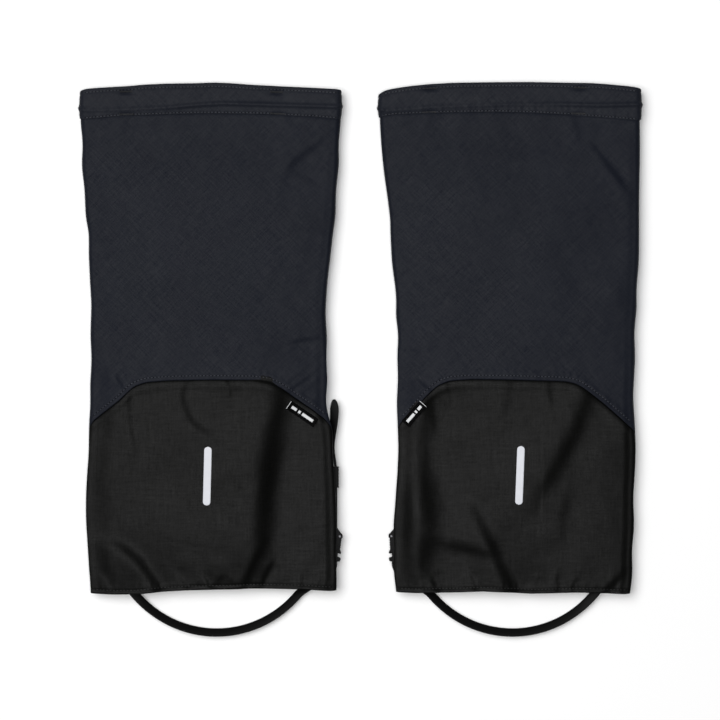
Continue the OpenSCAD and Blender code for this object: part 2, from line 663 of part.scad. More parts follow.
// ---- left gaiter ----
module left_upper_shell() { color(softshell) place(LEFT) upper_shell(LEFT); }
module left_lower_shell() { color(packcloth) place(LEFT) lower_shell(LEFT); }
module left_top_hem() { color(softshell) place(LEFT) top_hem(); }
module left_drawcord() { color(webcol) place(LEFT) drawcord(); }
module left_cord_lock_body() { color(plastic) place(LEFT) cord_lock_body(); }
module left_cord_lock_plunger() { color(plastic) place(LEFT) cord_lock_plunger(); }
module left_cord_lock_spring() { color(steel) place(LEFT) cord_lock_spring(); }
module left_cord_end_tab() { color(plastic) place(LEFT) cord_end_tab(); }
module left_storm_flap() { color(softshell) place(LEFT) storm_flap(); }
module left_loop_strip() { color(webcol) place(LEFT) loop_strip(); }
module left_underflap() { color(softshell) place(LEFT) underflap(); }
module left_hook_strip() { color(webcol) place(LEFT) hook_strip(); }
module left_snap_cap() { color(plastic) place(LEFT) snap_cap(); }
module left_snap_socket() { color(steel) place(LEFT) snap_socket(); }
module left_snap_stud() { color(steel) place(LEFT) snap_stud(); }
module left_lace_hook() { color(steel) place(LEFT) lace_hook(); }
module left_lace_hook_rivets() { color(steel) place(LEFT) lace_hook_rivets(); }
module left_instep_strap() {
  color(webcol) place(LEFT) translate([strap_shift, 0, 0]) instep_strap();
}
module left_strap_tail() { color(webcol) place(LEFT) hardware(LEFT) strap_tail(); }
module left_strap_anchor_patch() {
  color(packcloth) place(LEFT) translate([strap_shift, 0, 0]) strap_anchor_patch();
}
module left_strap_anchor_rivet() {
  color(steel) place(LEFT) translate([strap_shift, 0, 0]) strap_anchor_rivet();
}
module left_strap_keeper() { color(webcol) place(LEFT) hardware(LEFT) strap_keeper(); }
module left_buckle_frame() { color(plastic) place(LEFT) hardware(LEFT) buckle_frame(); }
module left_buckle_lever() { color(plastic) place(LEFT) hardware(LEFT) buckle_lever(); }
module left_buckle_pin() { color(steel) place(LEFT) hardware(LEFT) buckle_pin(); }
module left_buckle_webbing() { color(webcol) place(LEFT) hardware(LEFT) buckle_webbing(); }
module left_reflective_bar() { color("white") place(LEFT) reflective_bar(LEFT); }
module left_label() { color(webcol) place(LEFT) label(LEFT); }
module left_bar_tacks() { color(webcol) place(LEFT) bar_tacks(LEFT); }

// ---- right gaiter ----
module right_upper_shell() { color(softshell) place(RIGHT) upper_shell(RIGHT); }
module right_lower_shell() { color(packcloth) place(RIGHT) lower_shell(RIGHT); }
module right_top_hem() { color(softshell) place(RIGHT) top_hem(); }
module right_drawcord() { color(webcol) place(RIGHT) drawcord(); }
module right_cord_lock_body() { color(plastic) place(RIGHT) cord_lock_body(); }
module right_cord_lock_plunger() { color(plastic) place(RIGHT) cord_lock_plunger(); }
module right_cord_lock_spring() { color(steel) place(RIGHT) cord_lock_spring(); }
module right_cord_end_tab() { color(plastic) place(RIGHT) cord_end_tab(); }
module right_storm_flap() { color(softshell) place(RIGHT) storm_flap(); }
module right_loop_strip() { color(webcol) place(RIGHT) loop_strip(); }
module right_underflap() { color(softshell) place(RIGHT) underflap(); }
module right_hook_strip() { color(webcol) place(RIGHT) hook_strip(); }
module right_snap_cap() { color(plastic) place(RIGHT) snap_cap(); }
module right_snap_socket() { color(steel) place(RIGHT) snap_socket(); }
module right_snap_stud() { color(steel) place(RIGHT) snap_stud(); }
module right_lace_hook() { color(steel) place(RIGHT) lace_hook(); }
module right_lace_hook_rivets() { color(steel) place(RIGHT) lace_hook_rivets(); }
module right_instep_strap() {
  color(webcol) place(RIGHT) translate([-strap_shift, 0, 0]) instep_strap();
}
module right_strap_tail() { color(webcol) place(RIGHT) hardware(RIGHT) strap_tail(); }
module right_strap_anchor_patch() {
  color(packcloth) place(RIGHT) translate([-strap_shift, 0, 0]) strap_anchor_patch();
}
module right_strap_anchor_rivet() {
  color(steel) place(RIGHT) translate([-strap_shift, 0, 0]) strap_anchor_rivet();
}
module right_strap_keeper() { color(webcol) place(RIGHT) hardware(RIGHT) strap_keeper(); }
module right_buckle_frame() { color(plastic) place(RIGHT) hardware(RIGHT) buckle_frame(); }
module right_buckle_lever() { color(plastic) place(RIGHT) hardware(RIGHT) buckle_lever(); }
module right_buckle_pin() { color(steel) place(RIGHT) hardware(RIGHT) buckle_pin(); }
module right_buckle_webbing() { color(webcol) place(RIGHT) hardware(RIGHT) buckle_webbing(); }
module right_reflective_bar() { color("white") place(RIGHT) reflective_bar(RIGHT); }
module right_label() { color(webcol) place(RIGHT) label(RIGHT); }
module right_bar_tacks() { color(webcol) place(RIGHT) bar_tacks(RIGHT); }

function on(name) = node == "all" || node == name;
if (on("left_upper_shell")) left_upper_shell();
if (on("left_lower_shell")) left_lower_shell();
if (on("left_top_hem")) left_top_hem();
if (on("left_drawcord")) left_drawcord();
if (on("left_cord_lock_body")) left_cord_lock_body();
if (on("left_cord_lock_plunger")) left_cord_lock_plunger();
if (on("left_cord_lock_spring")) left_cord_lock_spring();
if (on("left_cord_end_tab")) left_cord_end_tab();
if (on("left_storm_flap")) left_storm_flap();
if (on("left_loop_strip")) left_loop_strip();
if (on("left_underflap")) left_underflap();
if (on("left_hook_strip")) left_hook_strip();
if (on("left_snap_cap")) left_snap_cap();
if (on("left_snap_socket")) left_snap_socket();
if (on("left_snap_stud")) left_snap_stud();
if (on("left_lace_hook")) left_lace_hook();
if (on("left_lace_hook_rivets")) left_lace_hook_rivets();
if (on("left_instep_strap")) left_instep_strap();
if (on("left_strap_tail")) left_strap_tail();
if (on("left_strap_anchor_patch")) left_strap_anchor_patch();
if (on("left_strap_anchor_rivet")) left_strap_anchor_rivet();
if (on("left_strap_keeper")) left_strap_keeper();
if (on("left_buckle_frame")) left_buckle_frame();
if (on("left_buckle_lever")) left_buckle_lever();
if (on("left_buckle_pin")) left_buckle_pin();
if (on("left_buckle_webbing")) left_buckle_webbing();
if (on("left_reflective_bar")) left_reflective_bar();
if (on("left_label")) left_label();
if (on("left_bar_tacks")) left_bar_tacks();
if (on("right_upper_shell")) right_upper_shell();
if (on("right_lower_shell")) right_lower_shell();
if (on("right_top_hem")) right_top_hem();
if (on("right_drawcord")) right_drawcord();
if (on("right_cord_lock_body")) right_cord_lock_body();
if (on("right_cord_lock_plunger")) right_cord_lock_plunger();
if (on("right_cord_lock_spring")) right_cord_lock_spring();
if (on("right_cord_end_tab")) right_cord_end_tab();
if (on("right_storm_flap")) right_storm_flap();
if (on("right_loop_strip")) right_loop_strip();
if (on("right_underflap")) right_underflap();
if (on("right_hook_strip")) right_hook_strip();
if (on("right_snap_cap")) right_snap_cap();
if (on("right_snap_socket")) right_snap_socket();
if (on("right_snap_stud")) right_snap_stud();
if (on("right_lace_hook")) right_lace_hook();
if (on("right_lace_hook_rivets")) right_lace_hook_rivets();
if (on("right_instep_strap")) right_instep_strap();
if (on("right_strap_tail")) right_strap_tail();
if (on("right_strap_anchor_patch")) right_strap_anchor_patch();
if (on("right_strap_anchor_rivet")) right_strap_anchor_rivet();
if (on("right_strap_keeper")) right_strap_keeper();
if (on("right_buckle_frame")) right_buckle_frame();
if (on("right_buckle_lever")) right_buckle_lever();
if (on("right_buckle_pin")) right_buckle_pin();
if (on("right_buckle_webbing")) right_buckle_webbing();
if (on("right_reflective_bar")) right_reflective_bar();
if (on("right_label")) right_label();
if (on("right_bar_tacks")) right_bar_tacks();
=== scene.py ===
"""A pair of softshell gaiters lying closed on the floor, calf side up, boot hem towards -y.

Each gaiter is drawn in its own frame in mm: x from its centre line towards the buckle side,
which faces the other gaiter, y up from the boot hem, z up from the floor. The front, with
its flap, is the floor side. hand is 1 for the left gaiter and -1 for the right one, which
to_world() mirrors. "outer" means x < 0, away from the other gaiter, "inner" means x > 0.
"""
import math
import bpy
import numpy as np
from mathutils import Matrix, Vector

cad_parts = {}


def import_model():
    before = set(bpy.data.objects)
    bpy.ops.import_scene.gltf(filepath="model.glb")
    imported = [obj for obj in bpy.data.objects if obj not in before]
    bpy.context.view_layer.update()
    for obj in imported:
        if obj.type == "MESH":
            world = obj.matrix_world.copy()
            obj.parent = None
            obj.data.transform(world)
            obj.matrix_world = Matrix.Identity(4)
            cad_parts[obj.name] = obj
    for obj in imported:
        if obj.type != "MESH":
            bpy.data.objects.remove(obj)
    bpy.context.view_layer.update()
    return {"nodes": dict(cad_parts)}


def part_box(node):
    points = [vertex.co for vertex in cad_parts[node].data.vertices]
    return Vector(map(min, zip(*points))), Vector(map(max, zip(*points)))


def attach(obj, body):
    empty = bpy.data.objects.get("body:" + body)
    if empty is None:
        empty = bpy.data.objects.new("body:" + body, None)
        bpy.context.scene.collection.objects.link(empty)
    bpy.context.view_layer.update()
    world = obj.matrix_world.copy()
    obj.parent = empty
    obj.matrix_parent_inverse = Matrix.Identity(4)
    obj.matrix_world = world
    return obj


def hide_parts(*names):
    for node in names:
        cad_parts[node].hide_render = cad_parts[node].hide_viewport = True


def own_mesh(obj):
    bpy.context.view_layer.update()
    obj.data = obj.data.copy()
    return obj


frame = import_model()

# ------------------------------------------------------------------ frame
MM = 0.001
LEFT, RIGHT = 1, -1
SIDE_NAME = {LEFT: "left", RIGHT: "right"}
HALF_GAP = 125.6           # half the distance between the two gaiters' centre lines
CAD_TOP_Y = 430.0          # local y of the top edge of the CAD hem
MID_Y = CAD_TOP_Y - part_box("left_top_hem")[1].y*1000.0      # local y of the world origin

UP = np.array([0, 0, 1.0])
DOWN = -UP


def to_world(hand, local):
    """local mm to world mm"""
    world = np.array(local, float)
    world[..., 0] = hand*(world[..., 0] - HALF_GAP)
    world[..., 1] -= MID_Y
    return world


# ------------------------------------------------------------------ sizes
FRONT_Z = 4.8              # outer face of the front panels
BACK_Z = 14.2              # calf side at the top hem
FRONT_LIFT = 5.6           # how far the front's lower corners stand higher
FOLD_RADIUS = 4.0          # of the two side folds
SLIT_X = 12.0              # half width of the front opening
CLOTH = 0.75
HEM_MID_Y = 412.0
HEM_RADIUS = (BACK_Z - FRONT_Z)/2
CORD_Y = 412.4
CORD_RADIUS = 1.45
BUCKLE = np.array([101.6, 26.6])
BUCKLE_TILT = math.radians(4.5)      # of the right gaiter's buckle and strap end
BUCKLE_SHIFT = 3.4
STRAP_WIDTH, STRAP_THICK, STRAP_Z = 7.3, 2.0, 5.0
STRAP_RADIUS = 89.6                  # of the instep loop
STRAP_CENTRE = np.array([0.9, STRAP_RADIUS - 31.0])
STRAP_START = math.radians(-158)     # angle of the riveted end round that centre
STRAP_START_DIR = np.array([-math.sin(STRAP_START), math.cos(STRAP_START)])
STITCH_PITCH = 2.9

# Half widths: (y, left outer, left inner, right outer, right inner)
HALF_WIDTHS = [
    (-2, 100.6, 104.5, 101.0, 95.6), (3.4, 101.0, 105.0, 101.6, 96.0),
    (13.4, 102.0, 105.8, 102.5, 96.7), (23.5, 103.2, 105.8, 102.6, 97.4),
    (43.7, 104.0, 105.2, 103.4, 97.5), (63.8, 105.0, 105.0, 104.2, 97.4),
    (84, 105.0, 104.3, 104.2, 96.4), (104, 104.3, 103.4, 105.0, 94.3),
    (124, 103.2, 102.6, 105.4, 93.3), (140, None, 101.8, None, None),
    (144, 102.4, None, 105.2, 94.2), (150, None, 98.6, None, None),
    (164, 102.3, 96.8, 104.2, 95.4), (184.8, 101.2, 97.4, 105.0, 94.3),
    (215, 101.4, 97.3, 105.2, 94.1), (235, 101.0, 96.0, 105.8, 95.6),
    (245, 101.0, 96.6, 106.6, 95.2), (265, 102.5, 98.3, 107.5, 97.4),
    (286, 103.4, 100.8, 108.4, 99.2), (306, 102.9, 102.5, 109.2, 100.8),
    (316, 105.0, 104.0, 109.2, 100.9), (336, 106.6, 105.2, 109.2, 103.3),
    (356, 108.4, 106.7, 109.2, 105.8), (376, 108.6, 107.6, 109.2, 107.5),
    (400, 109.6, 108.6, 109.8, 109.8), (432, 110.2, 109.4, 110.0, 110.0)]

# Lines that cross the calf side: (x, y) points
LINES = {
    # seam between the upper and the boot section
    ("arch", LEFT): [
        (-103.3, 143.64), (-89.86, 154.56), (-76.42, 164.64), (-65.5, 175.728),
        (-54.58, 179.592), (-33.58, 181.104), (1.7, 181.608), (36.98, 181.272),
        (49.58, 179.256), (58.82, 175.056), (70.58, 166.656), (87.38, 155.232),
        (103.34, 142.8)],
    ("arch", RIGHT): [
        (-107.5, 136.08), (-97.42, 145.32), (-78.94, 161.616), (-63.82, 173.376),
        (-56.26, 178.08), (-47.02, 180.264), (-22.66, 181.02), (4.22, 181.776),
        (32.78, 182.112), (51.26, 180.768), (60.92, 176.736), (70.58, 168.0),
        (81.5, 155.064), (94.94, 142.8)],
    # upper edge of the top hem
    ("top", LEFT): [
        (-113.38, 423.78), (-110.86, 424.788), (-105.82, 426.216), (-89.86, 427.392),
        (-68.86, 428.484), (-56.26, 429.744), (-36.94, 430.584), (-10.9, 430.92),
        (1.7, 431.508), (14.3, 431.088), (33.62, 429.576), (57.98, 428.316),
        (82.34, 427.224), (112.58, 425.628)],
    ("top", RIGHT): [
        (-112.54, 426.552), (-99.94, 428.4), (-84.82, 429.828), (-69.7, 431.004),
        (-47.02, 431.34), (-17.62, 431.928), (12.62, 431.76), (45.38, 431.34),
        (68.06, 430.164), (87.38, 428.064), (102.5, 425.628), (110.06, 422.856),
        (112.58, 420.0)],
    # lower edge of the top hem
    ("hem", LEFT): [
        (-113.38, 399.924), (-109.18, 400.344), (-73.9, 403.2), (-36.94, 404.544),
        (-14.26, 405.132), (15.14, 405.132), (48.74, 404.544), (63.02, 403.536),
        (87.38, 402.36), (111.74, 400.008)],
    ("hem", RIGHT): [
        (-113.38, 398.832), (-92.38, 400.68), (-67.18, 402.528), (-44.5, 404.376),
        (-17.62, 405.804), (12.62, 406.56), (42.86, 406.14), (72.26, 405.384),
        (98.3, 404.376), (110.06, 402.108), (113.42, 401.52)],
    # ridge the drawcord raises on the top hem
    ("cord", LEFT): [
        (-113.38, 407.736), (-93.22, 408.072), (-68.02, 408.828), (-36.94, 410.256),
        (-9.22, 412.692), (10.1, 413.784), (27.74, 413.28), (63.02, 412.272),
        (113.42, 410.76)],
    ("cord", RIGHT): [
        (-113.38, 413.28), (-75.58, 412.272), (-41.98, 413.112), (8.42, 412.608),
        (67.22, 410.592), (92.42, 408.576), (113.42, 407.4)],
    # edge of the boot hem
    ("boot", LEFT): [
        (-103.3, 2.016), (-99.1, 1.764), (-81.46, 1.176), (-62.14, 1.428),
        (-40.3, 3.612), (-20.14, 4.788), (-1.66, 5.208), (15.98, 5.544), (34.46, 6.216),
        (53.78, 5.964), (78.14, 5.544), (99.98, 4.032), (108.38, 4.536)],
    ("boot", RIGHT): [
        (-105.82, 2.016), (-95.74, 1.428), (-78.94, 2.352), (-57.1, 2.94),
        (-35.26, 2.352), (-17.62, 1.848), (0.86, 2.94), (22.7, 3.78), (43.7, 3.024),
        (61.34, 2.604), (80.66, 2.352), (95.78, 2.94), (99.14, 3.36)]}

# How far and how softly each line is smoothed, in half-millimetre samples: (reach, sigma)
LINE_SMOOTHING = {"arch": (12, 5.0), "top": (18, 6.0), "hem": (18, 6.0), "cord": (18, 6.0),
                  "boot": (12, 4.0)}

# Centres (x, y) of the bar tacks on the top hem, by turns near its top and its lower edge
TACKS = {
    LEFT: [(-71.464, 423.864), (-71.212, 404.712), (55.04, 423.528), (55.88, 405.216)],
    RIGHT: [(66.632, 426.72), (67.892, 406.56), (-59.2, 427.224), (-57.52, 405.384)]}

# Folds in the cloth: (points (x, y), drop across the fold, half width, recovery length,
# strength at the first point, strength at the last point)
FOLDS = {
    (LEFT, "low"): [
        ([(60.5, 171.36), (55.46, 147.0), (50.42, 117.6), (47.06, 89.04), (44.54, 59.64),
          (42.86, 33.6), (36.14, 11.76)], 5.8, 12.6, 34, 0.7, 0.5),
        ([(-94.9, 47.88), (-78.1, 42.84), (-63.82, 32.76), (-53.74, 21.0), (-46.18, 8.4)],
         2.6, 6.4, 19, 0.6, 1.0),
        ([(-95.74, 23.52), (-89.86, 14.28), (-83.98, 3.36)], 0.8, 3.5, 10, 0.3, 1.0),
        ([(-68.86, 173.88), (-68.86, 153.72), (-64.66, 128.52), (-58.78, 101.64)],
         1.0, 4.4, 12, 1.0, 0.1),
        ([(-20.14, 179.76), (-23.5, 167.16), (-15.94, 147.0), (-0.82, 136.08),
          (10.94, 125.16)], 1.15, 4.8, 13, 0.9, 0.1),
        ([(14.3, 179.76), (16.82, 171.36), (13.46, 162.96)], 0.6, 2.8, 8, 1.0, 0.1),
        ([(29.42, 178.08), (32.78, 168.0), (33.62, 154.56)], 0.35, 3.0, 9, 1.0, 0.1),
        ([(0.86, 5.04), (-3.34, 12.6), (-10.9, 22.68)], 0.8, 2.4, 8, 1.0, 0.1),
        ([(2.54, 5.04), (6.74, 13.44), (10.94, 21.0)], 0.5, 2.2, 7, 1.0, 0.1),
        ([(27.74, 10.08), (36.14, 27.72), (43.7, 43.68)], 1.2, 3.6, 11, 1.0, 0.4),
        ([(42.86, 10.92), (48.74, 22.68), (53.78, 31.92)], 0.9, 2.8, 9, 1.0, 0.2),
        ([(-32.74, 24.36), (-26.02, 15.96), (-19.3, 6.72)], 0.45, 3.0, 9, 0.2, 1.0),
        ([(94.94, 73.92), (94.1, 53.76), (91.58, 30.24)], 0.45, 6.0, 14, 0.2, 0.6),
        ([(74.78, 3.36), (76.46, 13.44), (80.66, 25.2)], 0.45, 2.6, 8, 1.0, 0.1)],
    (LEFT, "up"): [
        ([(99.98, 387.24), (80.66, 372.96), (67.22, 361.2), (62.18, 351.12)],
         1.15, 4.6, 15, 0.7, 0.2),
        ([(90.74, 216.72), (77.3, 215.04), (60.5, 210.84)], 0.8, 2.8, 9, 0.9, 0.2),
        ([(66.38, 173.04), (76.46, 179.76), (89.9, 190.68)], 0.8, 2.4, 8, 1.0, 0.3),
        ([(64.7, 178.92), (75.62, 187.32), (86.54, 196.56)], 0.5, 2.4, 7, 1.0, 0.3),
        ([(78.14, 172.2), (88.22, 178.92), (98.3, 181.44)], 0.5, 2.6, 8, 0.9, 0.6),
        ([(-82.3, 189.0), (-78.1, 182.28), (-73.06, 174.72)], 0.75, 2.6, 9, 0.2, 1.0),
        ([(-106.66, 303.24), (-97.42, 300.72), (-83.14, 296.52)], 0.7, 3.2, 10, 1.0, 0.1),
        ([(-101.62, 223.44), (-89.86, 210.84), (-84.82, 188.16)], 0.5, 7.0, 18, 0.3, 0.3),
        ([(32.78, 401.52), (29.42, 393.12), (26.9, 381.36)], 0.25, 4.0, 10, 1.0, 0.1),
        ([(64.7, 401.52), (67.22, 393.12), (68.06, 383.04)], 0.3, 4.0, 10, 1.0, 0.1),
        ([(-69.7, 401.52), (-73.06, 391.44), (-74.74, 374.64)], 0.35, 5.0, 12, 1.0, 0.1),
        ([(-51.22, 332.64), (-17.62, 312.48), (21.02, 305.76)], 0.35, 10.0, 26, 0.3, 0.3),
        ([(-0.82, 282.24), (32.78, 257.04), (47.9, 223.44)], 0.35, 12.0, 28, 0.3, 0.3)],
    (RIGHT, "low"): [
        ([(28.58, 70.56), (19.34, 51.24), (11.78, 33.6), (5.9, 21.0), (-2.5, 5.04)],
         3.0, 7.2, 21, 0.5, 1.0),
        ([(72.26, 154.56), (76.46, 131.04), (74.78, 105.84), (68.9, 80.64), (67.22, 55.44),
          (72.26, 33.6)], 6.6, 16.5, 36, 0.7, 0.6),
        ([(58.82, 44.52), (40.34, 40.32), (20.18, 36.12)], 2.1, 7.5, 19, 0.5, 0.8),
        ([(-66.34, 169.68), (-57.1, 143.64), (-44.5, 117.6), (-30.22, 92.4),
          (-20.98, 78.12)], 2.5, 9.0, 24, 0.9, 0.3),
        ([(-53.74, 102.48), (-47.02, 78.12), (-43.66, 53.76), (-46.18, 31.92)],
         0.8, 6.5, 16, 0.2, 0.3),
        ([(0.86, 180.6), (2.54, 163.8), (8.42, 141.96)], 0.5, 4.4, 12, 1.0, 0.1),
        ([(-32.74, 179.76), (-33.58, 168.0), (-36.1, 157.92)], 0.4, 3.0, 8, 1.0, 0.1),
        ([(52.1, 176.4), (50.42, 168.0), (47.06, 156.24)], 0.5, 3.0, 9, 1.0, 0.1),
        ([(67.22, 162.96), (64.7, 147.0), (59.66, 128.52)], 0.8, 4.6, 14, 0.9, 0.1),
        ([(-39.46, 3.36), (-39.46, 13.44), (-40.3, 25.2)], 0.6, 2.6, 8, 1.0, 0.1),
        ([(34.46, 21.0), (31.94, 14.28), (29.42, 5.04)], 0.6, 2.4, 7, 0.2, 1.0),
        ([(-81.46, 5.04), (-92.38, 15.96), (-104.14, 27.72)], 1.0, 3.4, 10, 1.0, 0.8),
        ([(68.06, 17.64), (64.7, 11.76), (60.5, 4.2)], 0.6, 2.8, 8, 0.2, 1.0),
        ([(-52.06, 4.2), (-54.58, 11.76), (-57.94, 18.48)], 0.45, 2.4, 7, 1.0, 0.1),
        ([(-20.14, 3.36), (-22.66, 11.76), (-26.02, 18.48)], 0.4, 2.4, 7, 1.0, 0.1),
        ([(-99.1, 131.04), (-95.74, 97.44), (-90.7, 63.84)], 0.5, 8.0, 20, 0.4, 0.4)],
    (RIGHT, "up"): [
        ([(-70.54, 377.16), (-83.14, 361.2), (-94.9, 346.08), (-104.14, 335.16)],
         0.85, 2.6, 12, 0.5, 0.6),
        ([(-66.34, 401.52), (-81.46, 399.0), (-109.18, 396.48)], 0.5, 2.4, 8, 0.5, 0.9),
        ([(84.86, 188.16), (75.62, 179.76), (66.38, 172.2)], 0.8, 2.4, 9, 0.2, 1.0),
        ([(57.98, 395.64), (33.62, 390.6), (11.78, 396.48)], 0.35, 5.5, 14, 0.4, 0.4),
        ([(50.42, 363.72), (-16.78, 357.84), (-48.7, 363.72)], 0.45, 10.0, 24, 0.3, 0.3),
        ([(94.1, 208.32), (84.02, 206.64), (67.22, 210.0)], 0.45, 3.0, 9, 1.0, 0.2),
        ([(89.06, 248.64), (77.3, 241.92), (58.82, 238.56)], 0.45, 7.0, 18, 0.6, 0.2),
        ([(-104.14, 248.64), (-92.38, 243.6), (-75.58, 245.28)], 0.4, 7.0, 18, 0.6, 0.2),
        ([(-53.74, 401.52), (-56.26, 391.44), (-61.3, 378.0)], 0.35, 4.0, 10, 1.0, 0.1),
        ([(65.54, 403.2), (68.9, 393.12), (75.62, 378.0)], 0.35, 4.0, 10, 1.0, 0.1),
        ([(-8.38, 307.44), (-38.62, 280.56), (-50.38, 240.24)], 0.35, 12.0, 28, 0.3, 0.3)]}


# ------------------------------------------------------------------ small maths
def smooth_step(start, end, value):
    t = np.clip((np.asarray(value, float) - start)/(end - start), 0, 1)
    return t*t*(3 - 2*t)


def bell(distance, width, power=2):
    return np.exp(-(distance/width)**power)


def unit(vectors):
    return vectors/(np.linalg.norm(vectors, axis=-1, keepdims=True) + 1e-9)


def smooth(values, reach, sigma):
    """Gaussian smoothing of evenly spaced values; reach and sigma are in samples"""
    kernel = np.exp(-0.5*(np.arange(-reach, reach + 1)/sigma)**2)
    kernel /= kernel.sum()
    return np.convolve(np.pad(values, reach, mode="edge"), kernel, mode="valid")


def points(x, y, z):
    """coordinates of any shapes that broadcast, as one array of points"""
    return np.stack(np.broadcast_arrays(x, y, z), -1)


def waves(x, y, seed, scale, amplitude):
    """smooth seeded undulation: a sum of long sine waves in random directions"""
    draw = np.random.default_rng(seed)
    out = np.zeros_like(x)
    for _ in range(9):
        turn = draw.uniform(0, 2*np.pi)
        length = scale*draw.uniform(0.6, 1.7)
        phase = draw.uniform(0, 2*np.pi)
        out += np.sin((x*np.cos(turn) + y*np.sin(turn))*2*np.pi/length + phase)
    return out*amplitude/3.0


# ------------------------------------------------------------------ outline and lines
WIDTH_Y = np.arange(-30, 460, 1.0)
WIDTH_TABLES = {}
for column, key in enumerate([(LEFT, -1), (LEFT, 1), (RIGHT, -1), (RIGHT, 1)], start=1):
    stations = [(row[0], row[column]) for row in HALF_WIDTHS if row[column] is not None]
    WIDTH_TABLES[key] = smooth(np.interp(WIDTH_Y, *zip(*stations)), 20, 4.0)

LINE_X = np.arange(-125, 125.5, 0.5)
LINE_TABLES = {key: smooth(np.interp(LINE_X, *zip(*line)), *LINE_SMOOTHING[key[0]])
               for key, line in LINES.items()}


def half_width(hand, sign, y):
    """half width on the outer side where sign is negative, else on the inner side"""
    return np.where(sign < 0, np.interp(y, WIDTH_Y, WIDTH_TABLES[hand, -1]),
                    np.interp(y, WIDTH_Y, WIDTH_TABLES[hand, 1]))


def line_y(name, hand, x):
    return np.interp(x, LINE_X, LINE_TABLES[name, hand])


def fold_radius(y):
    return FOLD_RADIUS + (HEM_RADIUS - FOLD_RADIUS)*smooth_step(340, 402, y)


def back_x(hand, across, y):
    """x on the calf side, across running from 0 at the outer fold to 1 at the inner one"""
    outer, inner, radius = half_width(hand, -1, y), half_width(hand, 1, y), fold_radius(y)
    return -(outer - radius) + across*(outer + inner - 2*radius)


def back_span(hand, y, inset, count):
    """x stations from side to side at height y, inset from both edges"""
    return np.linspace(-(half_width(hand, -1, y) - inset), half_width(hand, 1, y) - inset,
                       count)


# ------------------------------------------------------------------ heights of the cloth
def front_z(x, y):
    """height of the front panels' face, raised at the lower corners"""
    lift = np.where(x > 0, smooth_step(225, 196, y), smooth_step(150, 122, y))
    return FRONT_Z + FRONT_LIFT*smooth_step(38, 56, np.abs(x))*lift


def catmull(knots, steps=5):
    """Catmull-Rom curve through the knots"""
    padded = np.concatenate([[2*knots[0] - knots[1]], knots, [2*knots[-1] - knots[-2]]])
    out = []
    t = np.linspace(0, 1, steps, endpoint=False)[:, None]
    for i in range(1, len(padded) - 2):
        before, start, end, after = padded[i - 1:i + 3]
        out.append(0.5*(2*start + (end - before)*t
                        + (2*before - 5*start + 4*end - after)*t**2
                        + (3*start - before - 3*end + after)*t**3))
    out.append(knots[-1:])
    return np.concatenate(out)


def fold_relief(hand, x, y, part):
    """height added by the folds: each falls away from the key lamp's side"""
    relief = np.zeros_like(x)
    away = np.array([0.9*hand, -0.5])
    for knots, drop, width, recovery, first, last in FOLDS[hand, part]:
        curve = catmull(np.array(knots, float))
        reach = 2.6*recovery
        low, high = curve.min(0) - reach, curve.max(0) + reach
        near = (x > low[0]) & (x < high[0]) & (y > low[1]) & (y < high[1])
        chord = curve[-1] - curve[0]
        fall = 1.0 if np.array([-chord[1], chord[0]]) @ away > 0 else -1.0
        spots = np.stack([x[near], y[near]], 1)
        # for the nearest segment: distance, signed distance, overshoot past it, place along
        best = np.full(len(spots), 1e9)
        signed, over, along = np.zeros((3, len(spots)))
        for i in range(len(curve) - 1):
            start, step = curve[i], curve[i + 1] - curve[i]
            square = float(step @ step) + 1e-9
            length = math.sqrt(square)
            offset = spots - start
            free = (offset @ step)/square
            held = np.clip(free, 0, 1)
            rest = offset - held[:, None]*step
            distance = np.hypot(rest[:, 0], rest[:, 1])
            beside = (step[0]*offset[:, 1] - step[1]*offset[:, 0])/length
            closer = distance < best
            best[closer] = distance[closer]
            signed[closer] = beside[closer]
            over[closer] = (np.abs(free - held)*length)[closer]
            along[closer] = ((i + held)/(len(curve) - 1))[closer]
        signed *= fall
        fade = ((first + (1 - first)*smooth_step(0, 0.45, along))
                * (last + (1 - last)*smooth_step(1, 0.55, along))
                * bell(over, 1.3*width + 2))
        relief[near] -= drop*np.tanh(signed/width)*bell(np.abs(signed), recovery, 1.3)*fade
    return relief


def boot_relief(hand, x, y, edge):
    """folds, hem pinches and turned edge of the boot section"""
    above = y - line_y("boot", hand, x)
    z = -0.9*smooth_step(26, 0, y - 4)*bell(x - 6, 62, 4)
    z += fold_relief(hand, x, y, "low")*(0.35 + 0.65*edge)
    # soft pinches along the boot hem
    z += 0.22*np.sin(x*0.19 + 1.3*np.sin(x*0.043 + hand))*smooth_step(20, 0, y)*edge
    z += 0.10*np.sin(x*0.95 + 2.0*np.sin(x*0.13))*bell(above - 5.5, 3.0)
    # turned hem: a soft roll at the edge and a groove along its stitch line
    return z + 0.35*bell(above - 1.2, 1.6) - 0.32*bell(above - 3.5, 0.75)


def upper_relief(hand, x, y, edge):
    """folds, gathers and seam puckers of the upper"""
    z = 1.35*fold_relief(hand, x, y, "up")*(0.35 + 0.65*edge)
    # fullness gathered under the drawcord hem
    gather = np.sin(x*0.21 + 1.7*np.sin(x*0.031 + 2*hand))
    z += 0.16*gather*smooth_step(376, 398, y)*edge
    # puckers along the seam's topstitching
    pucker = np.sin(x*0.85 + 2.2*np.sin(x*0.11 + hand))
    z += 0.10*pucker*bell(y - line_y("arch", hand, x) - 6.0, 4.0)
    # tucked in under the hem band
    hem = line_y("hem", hand, x)
    return z - 1.0*smooth_step(hem - 1.2, hem + 1.2, y)


